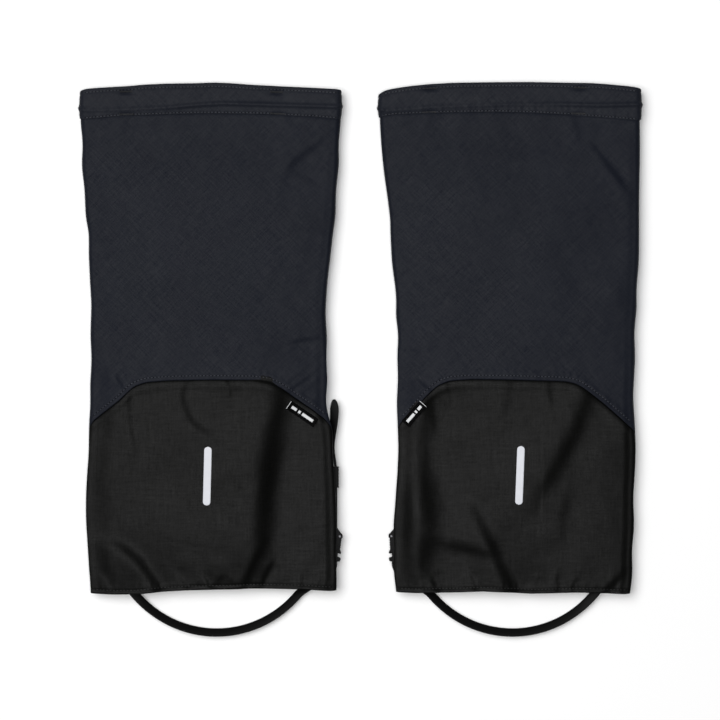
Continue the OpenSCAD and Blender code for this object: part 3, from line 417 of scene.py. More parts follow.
def back_relief(hand, x, y, part):
    """height of the calf side worked out in full"""
    width = half_width(hand, x, y) - FOLD_RADIUS
    across = np.clip(x/width, -1, 1)
    edge = smooth_step(1.0, 0.86, np.abs(across))
    below_hem = smooth_step(404, 380, y)
    dome = 3.0*smooth_step(402, 330, y)*(0.45 + 0.55*smooth_step(0, 60, y))
    z = BACK_Z + 0.8*smooth_step(400, 330, y) + dome*(1 - across*across)
    # broad, middling and fine undulation
    z += waves(x, y, 11 + (hand > 0), 95.0, 0.50)*(0.3 + 0.7*edge)*below_hem
    z += waves(x, y, 23 + (hand > 0), 30.0, 0.10)*edge*smooth_step(404, 392, y)
    z += waves(x, y, 31 + (hand > 0), 11.0, 0.020)*edge
    # the edges fall off, most on the side towards world -x
    inside = width - np.abs(x)
    fall = np.where(x*hand < 0, 2.8*smooth_step(19, 0, inside), 0.9*smooth_step(6, 0, inside))
    z -= fall*below_hem*(0.4 + 0.6*smooth_step(230, 150, y))
    return z + (boot_relief if part == "low" else upper_relief)(hand, x, y, edge)


TABLE_X = np.arange(-128.0, 128.5, 0.5)
TABLE_Y = np.arange(-6.0, 434.5, 0.5)
BACK_TABLES = {(hand, part): back_relief(hand, *np.meshgrid(TABLE_X, TABLE_Y, indexing="ij"),
                                         part)
               for hand in SIDE_NAME for part in ("up", "low")}


def back_z(hand, x, y, part):
    """height of the calf side, read off its half-millimetre table"""
    table = BACK_TABLES[hand, part]
    u = np.clip((np.asarray(x, float) - TABLE_X[0])*2.0, 0, len(TABLE_X) - 1.001)
    v = np.clip((np.asarray(y, float) - TABLE_Y[0])*2.0, 0, len(TABLE_Y) - 1.001)
    i, j = u.astype(int), v.astype(int)
    du, dv = u - i, v - j
    return ((table[i, j]*(1 - du) + table[i + 1, j]*du)*(1 - dv)
            + (table[i, j + 1]*(1 - du) + table[i + 1, j + 1]*du)*dv)


def cloth_z(hand, x, y, part):
    """calf side with the upper lapped over the boot section at the arch seam"""
    above = y - line_y("arch", hand, x)
    if part == "up":
        lap = (0.62*smooth_step(9, 1.0, above) + 0.22*bell(above - 6.5, 2.2)
               - 0.18*bell(above - 3.7, 0.9))
    else:
        lap = -0.15*smooth_step(-3, 0, above) + 0.30*bell(above + 5.0, 3.0)
    return back_z(hand, x, y, part) + lap


# ------------------------------------------------------------------ section of the sleeve
# Columns run from the slit round the outer fold, over the calf side and back to the slit.
PANELS = [("front", -1, 26), ("fold", -1, 12), ("back", 1, 190), ("fold", 1, 12),
          ("front", 1, 26)]      # kind, side, columns
columns = [(kind, sign, i/count) for kind, sign, count in PANELS for i in range(count)]
columns.append(("front", 1, 1.0))
KIND, SIGN, ALONG = (np.array(values)[:, None] for values in zip(*columns))
IS_BACK, IS_FOLD = KIND == "back", KIND == "fold"
OUTWARD = np.where(SIGN < 0, ALONG, 1 - ALONG)           # away from the slit
BACKNESS = np.select([IS_BACK, IS_FOLD], [1.0, OUTWARD], 0.0)     # 0 front, 1 calf side


def section(hand, y, part):
    """x and z of the sleeve's outer face at heights y, shaped (columns, rows)"""
    radius = fold_radius(y)
    fold_x = half_width(hand, SIGN, y) - radius
    flat_x = SIGN*(SLIT_X + OUTWARD*(fold_x - SLIT_X))
    sag = 0.25*np.abs(waves(flat_x, y, 41 + hand, 70.0, 0.6))
    flat_z = front_z(flat_x, y) - (sag*smooth_step(0, 0.2, OUTWARD)
                                   * smooth_step(1, 0.8, OUTWARD))
    calf_x = back_x(hand, ALONG, y)
    angle = np.pi*OUTWARD
    low, high = front_z(SIGN*fold_x, y), cloth_z(hand, SIGN*fold_x, y, part)
    wobble = 0.35*np.sin(y*0.11 + 2.0*np.sin(y*0.031 + hand))*np.sin(angle)
    round_x = SIGN*(fold_x + (radius + wobble)*np.sin(angle))
    round_z = (low + high)/2 - (high - low)/2*np.cos(angle)
    return (np.select([IS_BACK, IS_FOLD], [calf_x, round_x], flat_x),
            np.select([IS_BACK, IS_FOLD], [cloth_z(hand, calf_x, y, part), round_z], flat_z))


def seam_heights(hand):
    """height of the arch seam in each column, found by a few steps"""
    front_seam = 132.0
    across = np.where(IS_BACK, ALONG, SIGN > 0)
    y = np.where(IS_BACK, 150.0, 144.0)
    for _ in range(6):
        y = line_y("arch", hand, back_x(hand, across, y))
    return front_seam + (y - front_seam)*BACKNESS


# ------------------------------------------------------------------ mesh helpers
def world_piece(hand, name, mesh, material, replaced=None, rides="gaiter"):
    prefix = SIDE_NAME[hand] + "_"
    verts, faces = mesh
    corners = np.array([i for face in faces for i in face])
    starts = np.concatenate([[0], np.cumsum([len(face) for face in faces])[:-1]])
    data = bpy.data.meshes.new(prefix + name)
    data.vertices.add(len(verts))
    data.vertices.foreach_set("co", (np.asarray(verts)*MM).astype(np.float32).ravel())
    data.loops.add(len(corners))
    data.loops.foreach_set("vertex_index", corners.astype(np.int32))
    data.polygons.add(len(starts))
    data.polygons.foreach_set("loop_start", starts.astype(np.int32))
    data.update(calc_edges=True)
    data.validate()
    data.update()
    obj = bpy.data.objects.new(prefix + name, data)
    bpy.context.scene.collection.objects.link(obj)
    data.materials.append(material)
    data.polygons.foreach_set("use_smooth", [True]*len(data.polygons))
    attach(obj, prefix + rides)
    if replaced:
        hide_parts(prefix + replaced)
    return obj


def piece(hand, name, mesh, material, replaced=None, rides="gaiter", inside_out=False):
    """object from (vertices in local mm, faces); mirroring turns the faces over"""
    verts, faces = mesh
    if (hand < 0) != inside_out:
        faces = [face[::-1] for face in faces]
    return world_piece(hand, name, (to_world(hand, verts), faces), material, replaced,
                       rides)


def closed_sheet(outer, inner, flip=False):
    """closed solid between two (rows, columns, 3) grids"""
    rows, cols = outer.shape[:2]
    count = rows*cols

    def turned(faces, turn):
        return faces[:, ::-1] if turn else faces

    def strip(edge, turn):
        start, end = edge[:-1], edge[1:]
        return turned(np.stack([start, end, end + count, start + count], 1), turn)

    index = np.arange(count).reshape(rows, cols)
    quads = np.stack([index[:-1, :-1].ravel(), index[1:, :-1].ravel(),
                      index[1:, 1:].ravel(), index[:-1, 1:].ravel()], 1)
    faces = [turned(quads, flip), turned(quads + count, not flip),
             strip(index[0], flip), strip(index[-1], not flip),
             strip(index[:, 0], not flip), strip(index[:, -1], flip)]
    return np.concatenate([outer.reshape(-1, 3), inner.reshape(-1, 3)]), np.concatenate(faces)


def ring_faces(count, size):
    """quads that join rings of vertices one after another"""
    return [(i*size + j, i*size + (j + 1) % size, (i + 1)*size + (j + 1) % size,
             (i + 1)*size + j) for i in range(count - 1) for j in range(size)]


def tube(rings, start, end):
    """rings joined and closed with a fan of triangles at each end point"""
    count, size = rings.shape[:2]
    faces = ring_faces(count, size)
    tip, last = count*size, (count - 1)*size
    for j in range(size):
        faces.append((tip, (j + 1) % size, j))
        faces.append((tip + 1, last + j, last + (j + 1) % size))
    return np.concatenate([rings.reshape(-1, 3), [start], [end]]), faces


def stub(rings):
    """rings joined and closed with one flat face at each end"""
    count, size = rings.shape[:2]
    last = (count - 1)*size
    caps = [tuple(range(size - 1, -1, -1)), tuple(range(last, last + size))]
    return rings.reshape(-1, 3), ring_faces(count, size) + caps


def sweep(path, across, profile, normal=None):
    """tube along a path; profile holds (across, normal) offsets, one loop for all stations
    or one for each"""
    across = np.broadcast_to(across, path.shape)
    if normal is None:
        normal = np.cross(unit(np.gradient(path, axis=0)), across)
    normal = np.broadcast_to(normal, path.shape)
    rings = (path[:, None] + profile[..., :1]*across[:, None]
             + profile[..., 1:]*normal[:, None])
    return tube(rings, path[0], path[-1])


def ellipse(half_across, half_normal, count):
    angle = 2*np.pi*np.arange(count)/count
    return np.stack([half_across*np.cos(angle), half_normal*np.sin(angle)], 1)


def round_rect(width, thick, radius, steps=3):
    loop = []
    right, top = width/2 - radius, thick/2 - radius
    for x, y, first in [(right, top, 0), (-right, top, 90), (-right, -top, 180),
                        (right, -top, 270)]:
        for i in range(steps + 1):
            angle = math.radians(first + 90*i/steps)
            loop.append((x + radius*math.cos(angle), y + radius*math.sin(angle)))
    return np.array(loop)


def narrowed(profile, widths):
    """the profile at each station, scaled across by widths"""
    return profile*np.stack([widths, np.ones_like(widths)], 1)[:, None]


def join(meshes):
    verts, faces, base = [], [], 0
    for part_verts, part_faces in meshes:
        verts.append(part_verts)
        faces += [tuple(i + base for i in face) for face in part_faces]
        base += len(part_verts)
    return np.concatenate(verts), faces


def measured(run):
    """length of a run of points, and a function giving the point at a distance along it"""
    steps = np.linalg.norm(np.diff(run, axis=0), axis=1)
    reached = np.concatenate([[0], np.cumsum(steps)])
    return reached[-1], lambda distance: np.array(
        [np.interp(distance, reached, run[:, axis]) for axis in range(3)])


def stitches(run, length, radius, pitch=STITCH_PITCH, normal=UP):
    """thread stitches along a run of world points, each a stub with sunk ends"""
    # place along the stitch, share of the radius, lift
    stations = [(0.0, 0.25, -0.35), (0.14, 0.8, -0.02), (0.5, 1.0, 0.16), (0.86, 0.8, -0.02),
                (1.0, 0.25, -0.35)]
    total, at = measured(run)
    count = max(1, int(total/pitch))
    out = []
    for i in range(count):
        middle = (i + 0.5)*total/count
        start, end = at(middle - length/2), at(middle + length/2)
        side = np.cross(normal, unit(end - start))
        loop = ellipse(1.0, 0.8, 6)
        ring = loop[:, :1]*side + loop[:, 1:]*normal
        out.append(stub(np.array([start + (end - start)*place + normal*lift
                                  + radius*share*ring for place, share, lift in stations])))
    return join(out)


def needle_holes(run, radius=0.42):
    """near-black dots sunk at the needle holes between two stitches: painted shade in the
    holes
    """
    total, at = measured(run)
    count = max(1, int(total/STITCH_PITCH))
    out = []
    for i in range(count + 1):
        distance = i*total/count
        along = unit(at(distance + 0.5) - at(distance - 0.5))
        loop = ellipse(1.15, 1.0, 8)
        ring = loop[:, :1]*along + loop[:, 1:]*np.cross(UP, along)
        out.append(stub(np.array([at(distance) + size*ring + UP*lift for size, lift in
                                  ((radius, -0.30), (radius, 0.02), (radius*0.7, 0.10))])))
    return join(out)


# ------------------------------------------------------------------ shader helper
class Shader:
    """a material's node tree, with short ways to add nodes"""

    def __init__(self, name, surface="ShaderNodeBsdfPrincipled"):
        self.material = bpy.data.materials.new(name)
        self.material.use_nodes = True
        self.tree = self.material.node_tree
        self.tree.nodes.clear()
        self.output = self.node("ShaderNodeOutputMaterial")
        self.surface = self.node(surface)

    def feed(self, node, inputs):
        """link or set inputs, given by name or index"""
        for key, value in inputs.items():
            if isinstance(value, bpy.types.NodeSocket):
                self.tree.links.new(value, node.inputs[key])
            else:
                node.inputs[key].default_value = value

    def node(self, kind, inputs=None, **settings):
        node = self.tree.nodes.new(kind)
        for key, value in settings.items():
            setattr(node, key, value)
        self.feed(node, inputs or {})
        return node

    def math(self, operation, *values):
        return self.node("ShaderNodeMath", dict(enumerate(values)),
                         operation=operation).outputs[0]

    def object_coords(self):
        return self.node("ShaderNodeTexCoord").outputs["Object"]

    def noise(self, vector, scale, detail, roughness=0.5):
        return self.node("ShaderNodeTexNoise", {
            "Vector": vector, "Scale": scale, "Detail": detail, "Roughness": roughness})

    def clamp(self, value):
        return self.node("ShaderNodeClamp", {0: value}).outputs[0]

    def blend(self, factor, dark, light):
        return self.node("ShaderNodeMix", {
            "Factor": factor, "A": (*dark, 1), "B": (*light, 1)},
            data_type="RGBA").outputs["Result"]

    def bump(self, height, strength, distance):
        return self.node("ShaderNodeBump", {
            "Strength": strength, "Distance": distance, "Height": height}).outputs[0]

    def finish(self, inputs):
        """set the surface's inputs and send it to the output"""
        self.feed(self.surface, inputs)
        self.tree.links.new(self.surface.outputs[0], self.output.inputs[0])
        return self.material


def yarn_height(sh, vector, pitch, basket):
    """height of interlaced yarns, as a plain checker of sines or a basket weave"""
    axes = sh.node("ShaderNodeSeparateXYZ", {0: vector}).outputs
    # along the folds z takes part too, so the weave carries round the edge
    around = sh.math("ADD", axes[0], sh.math("MULTIPLY", axes[2], 0.6))
    u = sh.math("MULTIPLY", around, 2*math.pi/pitch[0])
    v = sh.math("MULTIPLY", axes[1], 2*math.pi/pitch[1])
    sine_u, sine_v = sh.math("SINE", u), sh.math("SINE", v)
    if not basket:
        crossed = sh.math("MULTIPLY", sine_u, sine_v)
        return sh.math("ADD", 0.5, sh.math("MULTIPLY", crossed, 0.5))
    abs_u, abs_v = sh.math("ABSOLUTE", sine_u), sh.math("ABSOLUTE", sine_v)
    checker = sh.math("MULTIPLY", sh.math("SINE", sh.math("MULTIPLY", u, 1.0)),
                      sh.math("SINE", sh.math("MULTIPLY", v, 1.0)))
    chosen = sh.math("GREATER_THAN", checker, 0.0)
    round_u, round_v = sh.math("POWER", abs_u, 0.6), sh.math("POWER", abs_v, 0.6)
    return sh.math("ADD", sh.math("MULTIPLY", round_u, chosen),
                   sh.math("MULTIPLY", round_v, sh.math("SUBTRACT", 1.0, chosen)))


def slub_specular(sh, vector, specular, slub):
    """uneven yarns catch the light as fine broken lines both ways"""
    total = None
    for stretch in ((0.07, 1.25, 0.5), (1.25, 0.07, 0.5), (0.9, 0.9, 0.9)):
        stretched = sh.node("ShaderNodeVectorMath", {0: vector, 1: stretch},
                            operation="MULTIPLY").outputs[0]
        streak = sh.math("SUBTRACT", sh.noise(stretched, 1.0, 2.0).outputs["Fac"], 0.5)
        total = streak if total is None else sh.math("ADD", total, streak)
    uneven = sh.math("ADD", 1.0, sh.math("MULTIPLY", total, slub))
    return sh.math("MAXIMUM", sh.math("MULTIPLY", uneven, specular), 0.0)


def fabric(name, dark, light, pitch, depth, roughness, fleck, specular=0.35, angle=0,
           sheen=0.0, patches=0.5, slub=0.0, basket=False):
    """woven cloth. pitch: mm between yarns (u, v), depth: relief in mm, fleck: share of
    fine noise in the colour, patches: strength of the broad wear, slub: uneven shine"""
    sh = Shader(name)
    to_mm = 1/MM
    cloth = sh.node("ShaderNodeMapping", {
        "Rotation": (0, 0, math.radians(angle)), "Scale": (to_mm, to_mm, to_mm),
        "Vector": sh.object_coords()}).outputs[0]
    # slight wander of the yarns
    wander = sh.noise(cloth, 0.35, 2.0).outputs["Color"]
    wandered = sh.node("ShaderNodeVectorMath", {0: wander, 1: (0.5, 0.5, 0.0), 2: cloth},
                       operation="MULTIPLY_ADD").outputs[0]
    height = yarn_height(sh, wandered, pitch, basket)
    fine = sh.noise(cloth, 1.1, 4.0, 0.65).outputs["Fac"]
    broad = sh.noise(cloth, 0.022, 3.0).outputs["Fac"]
    shade = sh.math("ADD", sh.math("MULTIPLY", height, 1 - fleck),
                    sh.math("MULTIPLY", sh.math("SUBTRACT", fine, 0.25), 2*fleck))
    shade = sh.math("ADD", shade,
                    sh.math("MULTIPLY", sh.math("SUBTRACT", broad, 0.5), patches))
    relief = sh.math("ADD", sh.math("MULTIPLY", height, depth),
                     sh.math("MULTIPLY", fine, depth*0.8))
    sh.surface.inputs["Specular IOR Level"].default_value = specular
    if slub:
        specular = slub_specular(sh, cloth, specular, slub)
    return sh.finish({
        "Base Color": sh.blend(sh.clamp(shade), dark, light),
        "Roughness": sh.math("ADD", roughness - 0.08, sh.math("MULTIPLY", fine, 0.16)),
        "Specular IOR Level": specular,
        "Sheen Weight": sheen, "Sheen Roughness": 0.45, "Sheen Tint": (0.8, 0.85, 1.0, 1),
        "Coat Weight": 0.0, "Coat Roughness": 0.4,
        "Normal": sh.bump(relief, 1.0, MM)})


def plastic(name, color, roughness, specular, grain, grain_scale, wear, wear_and_highlight_gain=2.2,
            wear_and_highlight_add=0.01, metallic=0.0):
    """moulded or metal part. grain: relief in mm, wear: how much the sharp convex edges
    lighten, as edge wear together with a painted edge highlight, towards color times the
    given gain plus the given offset"""
    sh = Shader(name)
    coords = sh.object_coords()
    fine = sh.noise(coords, grain_scale, 3.0).outputs["Fac"]
    broad = sh.noise(coords, grain_scale*0.06, 4.0).outputs["Fac"]
    pointiness = sh.node("ShaderNodeNewGeometry").outputs["Pointiness"]
    # painted edge highlight together with edge wear: pointiness lightens sharp convex edges,
    # and broad noise adds random lighter patches
    edges = sh.math("MULTIPLY", sh.math("SUBTRACT", pointiness, 0.5), 6.0*wear)
    edge_wear_and_highlight = sh.math("ADD", edges, sh.math("MULTIPLY", sh.math("SUBTRACT", broad, 0.5), 0.6))
    light = [min(1.0, value*wear_and_highlight_gain + wear_and_highlight_add) for value in color]
    return sh.finish({
        "Base Color": sh.blend(sh.clamp(edge_wear_and_highlight), color, light),
        "Roughness": sh.math("ADD", roughness - 0.08, sh.math("MULTIPLY", broad, 0.16)),
        "Metallic": metallic, "Specular IOR Level": specular,
        "Normal": sh.bump(fine, 0.6, grain*MM)})


def reflective_film():
    sh = Shader("reflective")
    coords = sh.object_coords()
    beads = sh.node("ShaderNodeTexVoronoi", {"Scale": 4200.0, "Vector": coords})
    mottle = sh.noise(coords, 160.0, 4.0).outputs["Fac"]
    return sh.finish({
        "Base Color": sh.blend(mottle, (0.565, 0.577, 0.620), (0.650, 0.661, 0.702)),
        "Roughness": 0.38, "Specular IOR Level": 0.15, "Sheen Weight": 0.1,
        "Normal": sh.bump(beads.outputs["Distance"], 0.35, 0.00004)})


def grey(value):
    return (value, value, value)


# ------------------------------------------------------------------ materials
SOFT_WEAVE = dict(pitch=(0.60, 0.60), angle=45, depth=0.014, roughness=0.50, sheen=0.010,
                  fleck=0.55, slub=1.5)
SOFTSHELL = fabric("softshell", dark=(0.0048, 0.0058, 0.0098),
                   light=(0.0112, 0.0131, 0.0190), specular=0.060, **SOFT_WEAVE)
# the same softshell made lighter and a little shinier for the hem band: painted light on the
# same fabric
SOFTSHELL_HEM_PAINTED_LIGHTER = fabric("softshell_hem_painted_lighter", dark=(0.0056, 0.0066, 0.0106),
                       light=(0.0132, 0.0150, 0.0208), specular=0.068, **SOFT_WEAVE)
PACK_CLOTH = fabric("pack_cloth", dark=grey(0.0004), light=(0.0034, 0.0035, 0.0032),
                    pitch=(1.10, 1.10), depth=0.018, roughness=0.42, fleck=0.40,
                    specular=0.067, basket=True, patches=0.35, slub=0.95)
# near-black material for the needle-hole dots: painted shade in the stitch holes
NEEDLE_HOLE_SHADE = fabric("needle_hole", dark=(0.0004, 0.0004, 0.0005),
                     light=(0.0016, 0.0016, 0.0018), pitch=(0.3, 0.3), angle=30, depth=0.02,
                     roughness=0.9, fleck=0.4, specular=0.02)
# bar tack thread: its light grey is partly the thread and partly a painted highlight along
# the raised thread
TACK_THREAD = fabric("tack_thread", dark=(0.006, 0.006, 0.007), light=(0.045, 0.046, 0.050),
                     pitch=(0.3, 0.5), angle=20, depth=0.03, roughness=0.5, sheen=0.02,
                     fleck=0.4, specular=0.2)
# thread lighter than its own dark colour: partly the thread, partly a painted highlight for
# the sheen on the stitches
THREAD = fabric("thread", dark=(0.022, 0.024, 0.030), light=(0.085, 0.090, 0.105),
                pitch=(0.3, 0.3), angle=30, depth=0.03, roughness=0.55, sheen=0.02,
                fleck=0.4, specular=0.12)
THREAD_LOW = fabric("thread_low", dark=grey(0.010), light=grey(0.045), pitch=(0.3, 0.3),
                    angle=30, depth=0.03, roughness=0.5, sheen=0.01, fleck=0.4,
                    specular=0.12)
WEBBING = fabric("webbing", dark=grey(0.003), light=grey(0.013), pitch=(0.9, 0.6),
                 depth=0.15, roughness=0.6, sheen=0.02, fleck=0.3, specular=0.12)
ELASTIC = fabric("elastic_cord", dark=grey(0.003), light=grey(0.016), pitch=(0.7, 0.7),
                 angle=35, depth=0.2, roughness=0.6, sheen=0.02, fleck=0.3, specular=0.12)
HOOK_TAPE = fabric("hook_tape", dark=grey(0.003), light=grey(0.020), pitch=(0.8, 1.1),
                   depth=0.35, roughness=0.5, sheen=0.03, fleck=0.5, specular=0.2)
LOOP_TAPE = fabric("loop_tape", dark=grey(0.003), light=grey(0.014), pitch=(0.5, 0.5),
                   angle=20, depth=0.3, roughness=0.85, sheen=0.06, fleck=0.8, specular=0.12)
LABEL_CLOTH = fabric("label_cloth", dark=grey(0.0006), light=grey(0.0024),
                     pitch=(0.35, 0.35), depth=0.02, roughness=0.6, fleck=0.3, specular=0.02)
LABEL_MARK = fabric("label_mark", dark=(0.50, 0.51, 0.52), light=(0.78, 0.79, 0.80),
                    pitch=(0.35, 0.35), depth=0.04, roughness=0.6, sheen=0.05, fleck=0.3)
PU = plastic("pu_strap", grey(0.0030), roughness=0.50, specular=0.06, grain=0.03,
             grain_scale=1500.0, wear=0.5, wear_and_highlight_gain=1.6, wear_and_highlight_add=0.002)
PLASTIC = plastic("moulded_plastic", (0.0022, 0.0022, 0.0024), roughness=0.45,
                  specular=0.05, grain=0.03, grain_scale=2600.0, wear=0.5, wear_and_highlight_gain=1.6,
                  wear_and_highlight_add=0.003)
STEEL = plastic("steel", (0.42, 0.43, 0.45), roughness=0.32, specular=0.5, grain=0.01,
                grain_scale=3000.0, wear=0.3, metallic=1.0)
DARK_METAL = plastic("dark_metal", (0.02, 0.02, 0.022), roughness=0.35, specular=0.5,
                     grain=0.01, grain_scale=3000.0, wear=0.8, metallic=0.6)
REFLECTIVE = reflective_film()


# ------------------------------------------------------------------ shells
def shell_rows(hand, part, seam):
    """heights of the shell's rows in each column"""
    if part == "up":
        rows = np.linspace(0, 1, 176)[None, :]
        rows = 0.75*rows + 0.25*rows*rows
        x = section(hand, np.full_like(ALONG, 400.0), "up")[0]
        front_top, under_hem = 403.0, 3.0
        hem = line_y("hem", hand, x) + under_hem
        top = np.where(BACKNESS > 0, front_top + (hem - front_top)*BACKNESS,
                       np.where(np.abs(x) < 34, front_top - 1, front_top))
        return seam + (top - seam)*rows
    rows = np.linspace(0, 1, 140)[None, :]
    rows = 0.5*rows + 0.5*(3*rows*rows - 2*rows*rows*rows)
    x = section(hand, np.full_like(ALONG, 4.0), "low")[0]
    bottom = line_y("boot", hand, x) + 0.8*(1 - BACKNESS)
    return bottom + (seam + 5.0 - bottom)*rows


def shell(hand, part, name, material):
    seam = seam_heights(hand)
    y = shell_rows(hand, part, seam)
    x, z = section(hand, y, part)
    if part == "low":
        # the top of the boot section tucks under the upper
        tuck = 1.15*smooth_step(seam - 1.5, seam + 1.5, y)
        z += np.where(BACKNESS <= 0, tuck, -tuck*BACKNESS)
    else:
        z -= (1 - BACKNESS)*0.5*smooth_step(seam + 6, seam, y)
    outer = points(x, y, z)
    normal = unit(np.cross(np.gradient(outer, axis=0), np.gradient(outer, axis=1)))
    piece(hand, name + "_cloth", closed_sheet(outer, outer - CLOTH*normal, True), material,
          name)


# ------------------------------------------------------------------ top hem
HEM_ROWS = 40              # steps up the hem's outer face; its inside has half as many
HEM_ROLL = 1.3             # height of the rolled top edge


def hem_rings(hand):
    """loops round the hem's thickness, one per column: up the face, over, down inside"""
    ease = 0.6
    width = half_width(hand, SIGN, HEM_MID_Y) + ease - HEM_RADIUS
    outer = half_width(hand, -1, HEM_MID_Y) + ease - HEM_RADIUS
    inner = half_width(hand, 1, HEM_MID_Y) + ease - HEM_RADIUS
    gap = np.where(SIGN < 0, 24.0, 22.0)
    angle = np.pi*BACKNESS
    x = np.select([IS_BACK, IS_FOLD],
                  [-outer + ALONG*(outer + inner), SIGN*(width + HEM_RADIUS*np.sin(angle))],
                  SIGN*(gap + OUTWARD*(width - gap)))
    z = (FRONT_Z + BACK_Z)/2 - HEM_RADIUS*np.cos(angle)
    normal_x, normal_z = SIGN*np.sin(angle), -np.cos(angle)

    front = 1 - BACKNESS
    top = line_y("top", hand, x)
    top = np.minimum(top, 429.6)*front + top*BACKNESS - 0.6*front
    bottom = 402.4*front + line_y("hem", hand, x)*BACKNESS
    cord = CORD_Y*front + line_y("cord", hand, x)*BACKNESS
    roll = top - HEM_ROLL

    # face: offset out from the base shape
    up = np.arange(HEM_ROWS + 1)[None, :]/HEM_ROWS
    face_y = bottom + (roll - bottom)*up
    fading = smooth_step(-70, -10, x) if hand > 0 else smooth_step(20, 70, -x)
    ridge = np.where(IS_BACK, 0.5 + 0.5*fading, 1.0)
    pucker = (0.12*np.sin(x*0.55 + 1.5*np.sin(x*0.07 + hand))
              + 0.10*np.sin(x*1.13 + hand))
    face = 0.15 + 0.45*np.sin(np.pi*up)**0.7 + 0.95*bell(face_y - cord, 1.8)*ridge
    face -= 0.30*bell(face_y - (top - 3.6), 0.8) + 0.22*bell(face_y - (bottom + 1.2), 0.8)
    face += pucker*(bell(face_y - (bottom + 1.5), 4.0) + 0.6*bell(face_y - cord, 3.0))
    for tack_x, tack_y in TACKS[hand]:
        dent = 1.5 if tack_y > 415 else 0.8
        face -= IS_BACK*dent*bell(x - tack_x, 6.0)*bell(face_y - tack_y + 0.6, 2.0)
    swell = 0.35*np.sin(x*0.055 + 1.2 + hand)*bell(np.abs(x), 95, 6)
    face += IS_BACK*swell*bell(face_y - (cord + 6), 5.0)

    over = np.pi*np.arange(1, 8)[None, :]/8
    down = np.arange(HEM_ROWS//2 + 1)[None, :]/(HEM_ROWS//2)
    inside_y = roll - (roll - bottom)*down
    inside = -2.15 - 0.45*bell(inside_y - cord, 2.2)
    edge = np.broadcast_to(0.15 - 1.15*(1 - np.cos(over)), (len(x), over.shape[1]))
    y = np.concatenate([face_y, roll + HEM_ROLL*np.sin(over), inside_y], 1)
    offset = np.concatenate([face, edge, inside], 1)
    return points(x + normal_x*offset, y, z + normal_z*offset)


def top_hem(hand, rings):
    piece(hand, "top_hem_cloth", tube(rings, rings[0].mean(0), rings[-1].mean(0)),
          SOFTSHELL_HEM_PAINTED_LIGHTER, "top_hem", inside_out=True)


# ------------------------------------------------------------------ stitching
def arch_run(hand):
    """run of the topstitching beside the arch seam"""
    offset, end_y, end_inset = 3.5, 150, 3.6
    x = back_span(hand, end_y, 2.5, 400)
    y = line_y("arch", hand, x)
    step_x, step_y = np.gradient(x), np.gradient(y)
    length = np.hypot(step_x, step_y)
    x, y = x - step_y/length*offset, y + step_x/length*offset
    keep = ((x > -(half_width(hand, -1, end_y) - end_inset))
            & (x < half_width(hand, 1, end_y) - end_inset))
    x, y = x[keep], y[keep]
    return to_world(hand, points(x, y, cloth_z(hand, x, y, "up") + 0.06))


def stitching(hand, rings):
    run = arch_run(hand)
    threads, holes = [stitches(run, 2.0, 0.25)], [needle_holes(run)]
    # along the top and the lower edge of the hem: row of its face, radius of the holes
    for row, hole in ((37, 0.36), (2, 0.42)):
        face = rings[IS_BACK[:, 0], row]
        x = back_span(hand, HEM_MID_Y, 4.2, 300)
        y, z = np.interp(x, face[:, 0], face[:, 1]), np.interp(x, face[:, 0], face[:, 2])
        run = to_world(hand, points(x, y, z + 0.05))
        threads.append(stitches(run, 2.0, 0.23))
        holes.append(needle_holes(run, hole))
    world_piece(hand, "seam_stitching", join(threads), THREAD)
    world_piece(hand, "seam_needle_holes", join(holes), NEEDLE_HOLE_SHADE)
    # above the turned edge of the boot hem
    x = back_span(hand, 4, 4, 300)
    y = line_y("boot", hand, x) + 3.5
    run = to_world(hand, points(x, y, cloth_z(hand, x, y, "low") + 0.05))
    world_piece(hand, "hem_stitching", stitches(run, 2.0, 0.23), THREAD_LOW)
    world_piece(hand, "hem_needle_holes", needle_holes(run), NEEDLE_HOLE_SHADE)


def bar_tacks(hand, rings):
    """dense zigzag thread over a flat core"""
    turns = 26
    face = rings[IS_BACK[:, 0], :HEM_ROWS + 1]
    out = []
    for index, (tack_x, tack_y) in enumerate(TACKS[hand]):
        half = 6.0 if index % 2 else 5.2
        x = tack_x - half + 2*half*np.arange(turns)/(turns - 1)
        near = face[np.interp(x, face[:, 0, 0], np.arange(len(face))).astype(int)]
        z = np.array([np.interp(tack_y, row[:, 1], row[:, 2]) for row in near])
        lean = near[:, :, 1].mean(axis=1)
        y = tack_y + (lean - lean[turns//2])*0.5
        zigzag = y + 0.75*np.where(np.arange(turns) % 2 == 0, 1, -1)
        out.append(sweep(to_world(hand, points(x, zigzag, z + 0.28)), UP,
                         ellipse(0.24, 0.24, 6), np.array([0.7, 0.7, 0.0])))
        out.append(sweep(to_world(hand, points(x, y, z + 0.14)), UP,
                         ellipse(0.18, 0.7, 8), np.array([0, 1.0, 0.0])))
    world_piece(hand, "bar_tack_thread", join(out), TACK_THREAD, "bar_tacks")


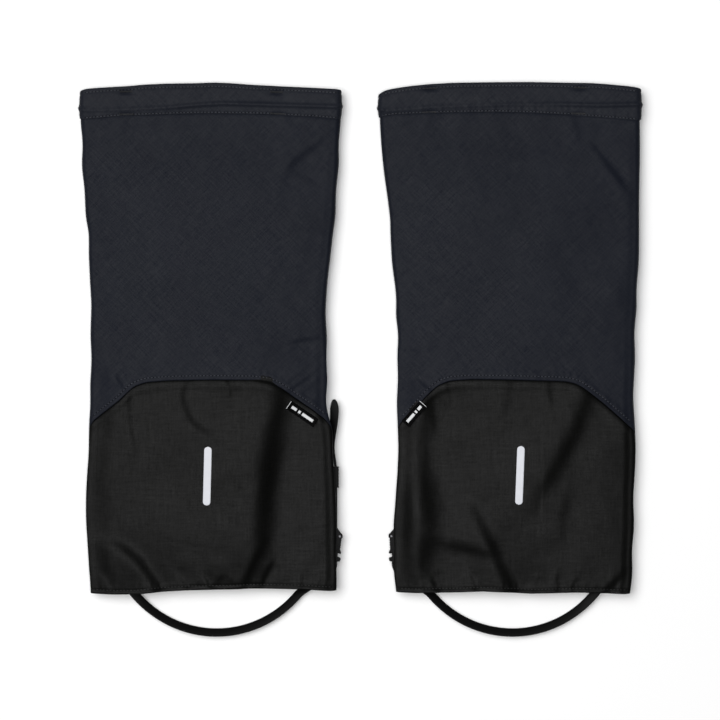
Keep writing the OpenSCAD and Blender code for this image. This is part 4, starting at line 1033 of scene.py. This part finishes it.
# ------------------------------------------------------------------ reflective bar
def reflective_bar(hand):
    """long bar with round ends, lying on the boot section"""
    centre_x, centre_y, degrees = (-2.9, 100.8, -1.5) if hand > 0 else (-8.2, 101.4, 2.2)
    radius, straight = 3.15, 21.6
    half_length = straight + radius
    along = np.linspace(-half_length, half_length, 61)[:, None]
    across = np.linspace(-1, 1, 13)[None, :]
    end = np.maximum(0.0, np.abs(along) - straight)
    beside = (np.sqrt(np.maximum(0.0, radius**2 - end*end)) + 0.02)*across
    cos, sin = math.cos(math.radians(degrees)), math.sin(math.radians(degrees))
    x = centre_x + cos*beside - sin*along
    y = centre_y + sin*beside + cos*along
    z = cloth_z(hand, x, y, "low")
    rim = (np.minimum(1.0, (1 - np.abs(across))*6)
           * np.minimum(1.0, (half_length - np.abs(along))*3))
    film = closed_sheet(points(x, y, z + 0.07 + 0.15*rim), points(x, y, z - 0.08), True)
    piece(hand, "reflective_film", film, REFLECTIVE, "reflective_bar")


# ------------------------------------------------------------------ label below the seam
LABEL_HALF = 4.0
# ends of the label's middle line
LABEL_ENDS = {LEFT: np.array([(65.204, 160.776), (88.052, 145.152)]),
              RIGHT: np.array([(88.052, 144.48), (72.932, 161.616)])}
# woven marks: spans along the label, and a rule close to one end
LABEL_BLOCKS = {LEFT: [(0.12, 0.30), (0.36, 0.44), (0.50, 0.90)],
                RIGHT: [(0.10, 0.50), (0.56, 0.64), (0.70, 0.88)]}
LABEL_RULE = {LEFT: (0.005, 0.022), RIGHT: (0.978, 0.995)}


def label_grid(hand, u, v, lift):
    """points on the curled label, u along it and v up it, both 0 to 1"""
    u, v = u[:, None], v[None, :]
    start, end = LABEL_ENDS[hand]
    step = end - start
    up = hand*np.array([-step[1], step[0]])/np.linalg.norm(step)
    rise = -LABEL_HALF + 2*LABEL_HALF*v
    x = start[0] + step[0]*u + up[0]*rise
    y = start[1] + step[1]*u + up[1]*rise
    curl = 0.55*(1 - v)**2 + 0.21*np.sin(np.pi*u) + 0.5*(2*u - 1)**4
    return points(x, y, back_z(hand, x, y, "low") + 1.25 + curl + lift)


def label(hand):
    u, v = np.linspace(0, 1, 45), np.linspace(0, 1, 15)
    swell = 0.26*np.sin(np.pi*np.minimum(1, 0.06 + v))**0.3
    tab = closed_sheet(label_grid(hand, u, v, swell), label_grid(hand, u, v, -0.34), hand < 0)
    piece(hand, "label_tab", tab, LABEL_CLOTH, "label")
    marks = []
    blocks = [(span, (0.34, 0.66)) for span in LABEL_BLOCKS[hand]]
    for span, height in blocks + [(LABEL_RULE[hand], (0.03, 0.97))]:
        u, v = np.linspace(*span, 9), np.linspace(*height, 4)
        marks.append(closed_sheet(label_grid(hand, u, v, 0.36), label_grid(hand, u, v, 0.12),
                                  hand < 0))
    piece(hand, "label_marks", join(marks), LABEL_MARK)


# ------------------------------------------------------------------ strap and buckle
def hardware_place(hand, local):
    """local place of a point given in the buckle's own frame"""
    place = np.array(local, float)
    if hand < 0:
        cos, sin = math.cos(BUCKLE_TILT), math.sin(BUCKLE_TILT)
        dx, dy = place[..., 0] - BUCKLE[0], place[..., 1] - BUCKLE[1]
        place[..., 0] = BUCKLE[0] + cos*dx - sin*dy
        place[..., 1] = BUCKLE[1] + sin*dx + cos*dy
    place[..., 0] += hand*BUCKLE_SHIFT
    return place


def instep_strap(hand):
    """loop from the rivet round below the boot hem and up into the buckle"""
    # round part
    arc_end = -math.asin(STRAP_CENTRE[1]/STRAP_RADIUS)
    angle = np.linspace(STRAP_START, arc_end, 110)
    radius = STRAP_RADIUS + 0.5 - 0.25*(1 - np.cos(2*(angle + math.pi/2)))
    arc = STRAP_CENTRE + radius[:, None]*np.stack([np.cos(angle), np.sin(angle)], 1)
    # bend up into the buckle, a Bezier curve
    handle = 12
    t = np.linspace(0, 1, 45)[1:, None]
    leave = arc[-1] + handle*np.array([-math.sin(arc_end), math.cos(arc_end)])
    arrive = BUCKLE - [0, handle]
    bend = ((1 - t)**3*arc[-1] + 3*t*(1 - t)**2*leave + 3*t**2*(1 - t)*arrive
            + t**3*BUCKLE)
    # straight end back to the rivet
    straight = arc[0] - STRAP_START_DIR*np.linspace(11.6, 0.6, 16)[:, None]
    flat = np.concatenate([straight, arc, bend])
    # progress: 0 on the straight end, to 30 along the arc, to 42 along the bend
    progress = np.concatenate([np.zeros(16), np.linspace(0, 30, 110), 30 + 12*t[:, 0]])
    on_arc = progress <= 30
    arc_tilt = math.radians(30)
    tilt = np.where(on_arc, arc_tilt*smooth_step(1, 9, progress),
                    arc_tilt + (math.pi/2 - arc_tilt)*smooth_step(30, 42, progress))
    rise = 1.0*np.sin(np.pi*np.clip((progress - 6)/24, 0, 1))
    z = np.where(on_arc, 6.9 - 3.2*smooth_step(1, 9, progress) + rise,
                 3.7 + 1.3*smooth_step(30, 42, progress))
    along = unit(np.gradient(flat, axis=0))
    side_x, side_y = along[:, 1], -along[:, 0]
    cos, sin = np.cos(tilt), np.sin(tilt)
    path = points(flat[:, 0] + hand*BUCKLE_SHIFT, flat[:, 1], z)
    # rounded strap end: the first six stations are narrower
    to_go = np.maximum(6 - np.arange(len(path)), 0)
    widths = np.sqrt(np.maximum(0.05, 1 - (to_go/6.5)**2))
    profile = narrowed(round_rect(STRAP_WIDTH, STRAP_THICK, 0.55), widths)
    strap = sweep(path, points(side_x*cos, side_y*cos, sin), profile,
                  points(-side_x*sin, -side_y*sin, cos))
    obj = piece(hand, "instep_strap_loop", strap, PU, "instep_strap")
    anchor_y = to_world(hand, [0, BUCKLE[1], 0])[1]*MM
    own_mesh(obj)


# Strap tail: stations y, then sideways shift, twist in degrees and rise at each
TAIL_Y = [0, 108, 114, 125, 135, 145, 155, 161, 166]
TAIL_SHAPE = {
    LEFT: [[0, 0, -1.3, -3.6, -2.8, -1.9, -1.1, -1.3, -1.9],
           [0, 0, 6, 16, 32, 52, 72, 80, 84],
           [0, 0, 0, 0, 0.4, 1.1, 2.0, 2.4, 2.6]],
    RIGHT: [[0, 0, -0.1, -0.3, -0.5, -0.8, -1.1, -1.3, -1.5],
            [0, 0, 0, 2, 5, 8, 12, 14, 15],
            [0]*9]}


def strap_tail(hand):
    """loose end of the strap above the buckle, with a rounded tip"""
    tip_start, tip_length = 155, 10.3
    y = np.linspace(BUCKLE[1] + 0.3, 165.0, 120)
    shift, twist, rise = (smooth(np.interp(y, TAIL_Y, values), 9, 4.0)
                          for values in TAIL_SHAPE[hand])
    twist = np.radians(twist)
    tip = np.sqrt(np.clip(1 - ((y - tip_start)/tip_length)**2, 0.02, 1))
    path = hardware_place(hand, points(BUCKLE[0] + shift, y, STRAP_Z + rise))
    along = unit(np.gradient(path, axis=0))
    across = points(np.sin(twist), 0.0, np.cos(twist))
    across = unit(across - (across*along).sum(1, keepdims=True)*along)
    profile = narrowed(round_rect(STRAP_WIDTH, STRAP_THICK, 0.5),
                       np.where(y > tip_start, tip, 1.0))
    piece(hand, "strap_tail_end", sweep(path, across, profile), PU,
          "strap_tail", rides="strap_end")


def keeper(hand):
    """ribbed elastic band round the strap"""
    steps, size, ribs = 26, 40, 6
    row = np.arange(steps + 1)[:, None]
    y = 90.8 + 17.5*row/steps
    rib = 0.10*np.cos(2*math.pi*row/steps*ribs)
    angle = 2*np.pi*np.arange(size)[None, :]/size
    cos, sin = np.cos(angle), np.sin(angle)
    squared = (np.abs(cos)**6 + np.abs(sin)**6)**(-1/6)
    outer = points(BUCKLE[0] + (2.25 + rib)*cos*squared, y,
                   STRAP_Z + (4.9 + rib)*sin*squared)
    inner = points(BUCKLE[0] + 1.35*cos*squared, y, STRAP_Z + 4.0*sin*squared)
    count = (steps + 1)*size
    last = steps*size
    faces = ring_faces(steps + 1, size)
    faces += [(count + a, count + d, count + c, count + b) for a, b, c, d in faces]
    for j in range(size):
        k = (j + 1) % size
        faces.append((j, count + j, count + k, k))
        faces.append((last + j, last + k, count + last + k, count + last + j))
    verts = np.concatenate([outer.reshape(-1, 3), inner.reshape(-1, 3)])
    piece(hand, "keeper_band", (hardware_place(hand, verts), faces), ELASTIC,
          "strap_keeper")


def buckle_webbing(hand):
    """tape looped round the buckle's bar, its two legs side by side"""
    tape_x, bar_y, radius, top_y = 98.0, 59.5, 1.55, 84.0
    legs = 0.5
    angle = np.linspace(math.radians(125), math.radians(415), 34)
    x = np.concatenate([np.full(22, tape_x - legs), tape_x + radius*np.cos(angle),
                        np.full(22, tape_x + legs)])
    y = np.concatenate([np.linspace(top_y, 61.0, 22), bar_y + radius*np.sin(angle),
                        np.linspace(61.2, top_y, 22)])
    path = hardware_place(hand, points(x, y, STRAP_Z))
    piece(hand, "buckle_webbing_tape", sweep(path, UP, round_rect(7.4, 0.8, 0.25, 2)),
          WEBBING, "buckle_webbing")


def anchor_patch(hand):
    """cloth patch at the strap's rivet, with box stitching on its floor side"""
    spoke = np.array([math.cos(STRAP_START), math.sin(STRAP_START)])
    rivet = STRAP_CENTRE + STRAP_RADIUS*spoke - 8*STRAP_START_DIR
    patch_x, patch_y = rivet[0] + hand*BUCKLE_SHIFT, rivet[1]
    half_x, half_y, inset = 11, 13, 2
    u, v = np.linspace(-1, 1, 31)[:, None], np.linspace(-1, 1, 35)[None, :]
    peak = np.maximum(np.abs(u), np.abs(v))
    corner = peak/np.maximum((np.abs(u)**8 + np.abs(v)**8)**(1/8), 1e-9)
    x, y = patch_x + half_x*u*corner, patch_y + half_y*v*corner
    rim = 0.25*peak**8
    top = points(x, y, 10.15 - rim)
    under = points(x, y, 8.15 + rim + 0.06*np.cos(u*38) + 0.06*np.cos(v*44))
    piece(hand, "anchor_patch_cloth", closed_sheet(top, under), PACK_CLOTH,
          "strap_anchor_patch")
    box_x, box_y = half_x - inset, half_y - inset
    box = [(-box_x, -box_y), (box_x, -box_y), (box_x, box_y), (-box_x, box_y)]
    sides = []
    for (x0, y0), (x1, y1) in zip(box, box[1:] + box[:1]):
        t = np.linspace(0, 1, 12)
        run = points(patch_x + x0 + (x1 - x0)*t, patch_y + y0 + (y1 - y0)*t, 8.12)
        sides.append(stitches(to_world(hand, run), 1.9, 0.22, pitch=2.6, normal=DOWN))
    world_piece(hand, "anchor_stitching", join(sides), THREAD_LOW)


# ------------------------------------------------------------------ drawcord and its lock
def lock_coil(hand):
    """coil under the lock's button, ground flat at both ends"""
    turns, radius, wire, inset = 3.6, 2.4, 0.25, 0.26
    centre_x, centre_z, floor_y, top_y = 11.5, 6.0, 404.05, 408.55
    t = np.linspace(0, 1, 96)
    rise = np.interp(t, [0, 0.14, 0.86, 1], [0.0, 0.07, 0.93, 1.0])
    angle = 2*np.pi*turns*t
    out = points(np.cos(angle), 0.0, -np.sin(angle))
    path = radius*out + points(
        centre_x, floor_y + inset + (top_y - floor_y - 2*inset)*rise, centre_z)
    obj = piece(hand, "lock_coil", sweep(path, out, ellipse(wire, wire, 10)), STEEL,
                "cord_lock_spring", rides="cord_lock")
    anchor_y = to_world(hand, [0, floor_y, 0])[1]*MM
    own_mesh(obj)


def drawcord(hand):
    """cord inside the top hem, round both folds"""
    turn_x, turn_z, radius = 105.3, 9.5, 3.5
    angle = np.linspace(0.12, math.pi - 0.12, 14)
    sin, cos = radius*np.sin(angle), radius*np.cos(angle)
    x = np.concatenate([np.linspace(-14, turn_x, 90), turn_x + sin,
                        np.linspace(turn_x, -turn_x, 120), -turn_x - sin,
                        np.linspace(-turn_x, -30, 60)])
    z = np.concatenate([np.full(90, turn_z - radius), turn_z - cos,
                        np.full(120, turn_z + radius), turn_z + cos,
                        np.full(60, turn_z - radius)])
    path = points(x, CORD_Y, z)
    loop = ellipse(1.0, 1.0, 12)
    around = 2*np.pi*np.arange(12)/12
    braid = CORD_RADIUS + 0.05*np.cos(3*around + np.arange(len(path))[:, None]*1.3)
    piece(hand, "drawcord_braid", sweep(path, np.array([0, 1.0, 0]), braid[..., None]*loop),
          ELASTIC, "drawcord")


# ------------------------------------------------------------------ front flap and closure
def storm_flap(hand):
    """flap over the front opening, stepping down to the floor from its sewn edge"""
    sewn_x, step_x, sewn_z, drop, flat = -31, 12, 3.85, 2.95, 51
    low_y, high_y, stitch_inset = 8, 396, 4
    slope = math.hypot(step_x, drop)
    u = np.linspace(0, slope + flat, 64)[:, None]
    y = np.linspace(low_y, high_y, 150)[None, :]
    t = np.clip(u/slope, 0, 1)
    x = sewn_x + step_x*t + np.maximum(0, u - slope)
    middle = sewn_z - drop*(0.35*t + 0.65*smooth_step(0, 1, t))
    from_free = slope + flat - u
    rim = np.minimum(np.minimum(u, from_free), np.minimum(y - low_y, high_y - y)) + 0.01
    half = 0.85*np.sqrt(np.maximum(0.0, 1 - (1 - np.minimum(1.0, rim))**2)) + 0.03
    groove = 0.10*(bell(from_free - stitch_inset, 0.7) + bell(y - low_y - stitch_inset, 0.7))
    dimple = 0.5*bell(np.hypot(x - 2.0, y - 384.0), 7.5, 6)
    flap = closed_sheet(points(x, y, middle + half),
                        points(x, y, middle - half + groove + dimple))
    piece(hand, "storm_flap_cloth", flap, SOFTSHELL, "storm_flap",
          rides="flap")
    run_y = np.linspace(low_y + stitch_inset, high_y - stitch_inset, 160)
    runs = [to_world(hand, points(run_x, run_y, 0.14)) for run_x in (28.2, -17.5)]
    world_piece(hand, "flap_stitching",
                join([stitches(run, 2.1, 0.2, normal=DOWN) for run in runs]), THREAD,
                rides="flap")


def rim_distance(x, y, x_span, y_span):
    return np.minimum(np.minimum(x - x_span[0], x_span[1] - x),
                      np.minimum(y - y_span[0], y_span[1] - y))


def tape(hand, name, x_span, y_span, z_span, pile_up, material, replaced, rides):
    """strip of hook or loop tape with its pile on the upper or the lower face"""
    i, j = np.arange(22)[:, None], np.arange(200)[None, :]
    x = np.linspace(*x_span, 22)[:, None]
    y = np.linspace(*y_span, 200)[None, :]
    rim = np.minimum(1.0, rim_distance(x, y, x_span, y_span)/1.5 + 0.25)
    thin = 0.25*(1 - rim)
    pile = 0.12 - 0.12*np.sin(i*2.1)*np.sin(j*1.9)*rim
    top = points(x, y, z_span[1] - thin - pile*pile_up)
    under = points(x, y, z_span[0] + thin + pile*(not pile_up))
    piece(hand, name, closed_sheet(top, under), material, replaced, rides)


def underflap(hand):
    x_span, y_span, middle = (-10, 33), (6, 398), 4.25
    x = np.linspace(*x_span, 40)[:, None]
    y = np.linspace(*y_span, 150)[None, :]
    rim = np.minimum(1.0, rim_distance(x, y, x_span, y_span))
    half = 0.45*np.sqrt(np.maximum(0.02, 1 - (1 - rim)**2))
    sheet = closed_sheet(points(x, y, middle + half), points(x, y, middle - half))
    piece(hand, "underflap_cloth", sheet, SOFTSHELL, "underflap")


# ------------------------------------------------------------------ build
def build(hand):
    shell(hand, "up", "upper_shell", SOFTSHELL)
    shell(hand, "low", "lower_shell", PACK_CLOTH)
    rings = hem_rings(hand)
    top_hem(hand, rings)
    stitching(hand, rings)
    bar_tacks(hand, rings)
    reflective_bar(hand)
    label(hand)
    instep_strap(hand)
    strap_tail(hand)
    keeper(hand)
    buckle_webbing(hand)
    anchor_patch(hand)
    lock_coil(hand)
    drawcord(hand)
    storm_flap(hand)
    tape(hand, "loop_tape", x_span=(9, 29), y_span=(12, 372), z_span=(1.86, 2.74),
         pile_up=True, material=LOOP_TAPE, replaced="loop_strip", rides="flap")
    tape(hand, "hook_tape", x_span=(10, 28), y_span=(14, 370), z_span=(2.81, 3.69),
         pile_up=False, material=HOOK_TAPE, replaced="hook_strip", rides="gaiter")
    underflap(hand)


# Hardware carried over from the CAD
HARDWARE = {
    "cord_lock_body": PLASTIC, "cord_lock_plunger": PLASTIC, "cord_end_tab": PLASTIC,
    "cord_lock_spring": STEEL, "snap_cap": DARK_METAL, "snap_socket": STEEL,
    "snap_stud": STEEL, "lace_hook": DARK_METAL, "lace_hook_rivets": DARK_METAL,
    "strap_anchor_rivet": DARK_METAL, "buckle_frame": PLASTIC, "buckle_lever": PLASTIC,
    "buckle_pin": DARK_METAL}


def dress_hardware(hand):
    """materials for the CAD hardware, and soft edges on all but the spring"""
    for name, material in HARDWARE.items():
        obj = frame["nodes"][SIDE_NAME[hand] + "_" + name]
        obj.data.materials.clear()
        obj.data.materials.append(material)
        if name != "cord_lock_spring":
            bevel = obj.modifiers.new("edge", "BEVEL")
            bevel.width = 0.00018
            bevel.segments = 2
            bevel.limit_method = "ANGLE"
            bevel.angle_limit = math.radians(35)
            bevel.harden_normals = False


# ------------------------------------------------------------------ floor, light, camera
def floor():
    """white floor, seen through from below, that lets the lamp under it shine through"""
    sh = Shader("floor", surface="ShaderNodeBsdfDiffuse")
    sh.feed(sh.surface, {0: (0.93, 0.93, 0.93, 1)})
    clear = sh.node("ShaderNodeBsdfTransparent")
    backfacing = sh.node("ShaderNodeNewGeometry").outputs["Backfacing"]
    shadow = sh.node("ShaderNodeLightPath").outputs["Is Shadow Ray"]
    mix = sh.node("ShaderNodeMixShader", {
        0: sh.math("MAXIMUM", backfacing, shadow), 1: sh.surface.outputs[0],
        2: clear.outputs[0]})
    sh.tree.links.new(mix.outputs[0], sh.output.inputs[0])

    half, z = 3, -0.0004
    data = bpy.data.meshes.new("floor")
    data.from_pydata([(-half, -half, z), (half, -half, z), (half, half, z),
                      (-half, half, z)], [], [(0, 1, 2, 3)])
    obj = bpy.data.objects.new("floor", data)
    bpy.context.scene.collection.objects.link(obj)
    data.materials.append(sh.material)


def world():
    studio = bpy.data.worlds.new("studio")
    bpy.context.scene.world = studio
    studio.use_nodes = True
    background = studio.node_tree.nodes["Background"]
    background.inputs["Color"].default_value = (1.0, 1.0, 1.0, 1)
    background.inputs["Strength"].default_value = 0.07


def area_light(name, location, size, power):
    """square lamp aimed at the origin"""
    light = bpy.data.lights.new(name, "AREA")
    light.shape = "RECTANGLE"
    light.size = size
    light.size_y = size
    light.energy = power
    obj = bpy.data.objects.new(name, light)
    bpy.context.scene.collection.objects.link(obj)
    obj.location = location
    aim = Vector((0, 0, 0)) - Vector(location)
    obj.rotation_euler = aim.to_track_quat("-Z", "Y").to_euler()


def camera():
    """straight down, framing view_width at the height view_z"""
    height, view_z, view_width = 3.0, 0.015, 0.6048
    middle_y = 198.24      # local y under the camera
    data = bpy.data.cameras.new("cam")
    data.sensor_width = 36.0
    data.lens = data.sensor_width*(height - view_z)/view_width
    obj = bpy.data.objects.new("cam", data)
    bpy.context.scene.collection.objects.link(obj)
    obj.location = (-0.00042, (middle_y - MID_Y)*MM, height)
    obj.rotation_euler = (0, 0, 0)
    bpy.context.scene.camera = obj


for hand in SIDE_NAME:
    build(hand)
for hand in SIDE_NAME:
    dress_hardware(hand)
floor()
world()
area_light("key", location=(-1.62, 0.86, 4.60), size=4.1, power=256.0)
area_light("overhead", location=(0.25, -0.22, 3.5), size=0.5, power=31.0)
area_light("under", location=(0.2, -0.9, -1.9), size=3.2, power=110.0)
camera()
view = bpy.context.scene.view_settings
view.view_transform = "Standard"
view.look = "None"
view.exposure = 0.0
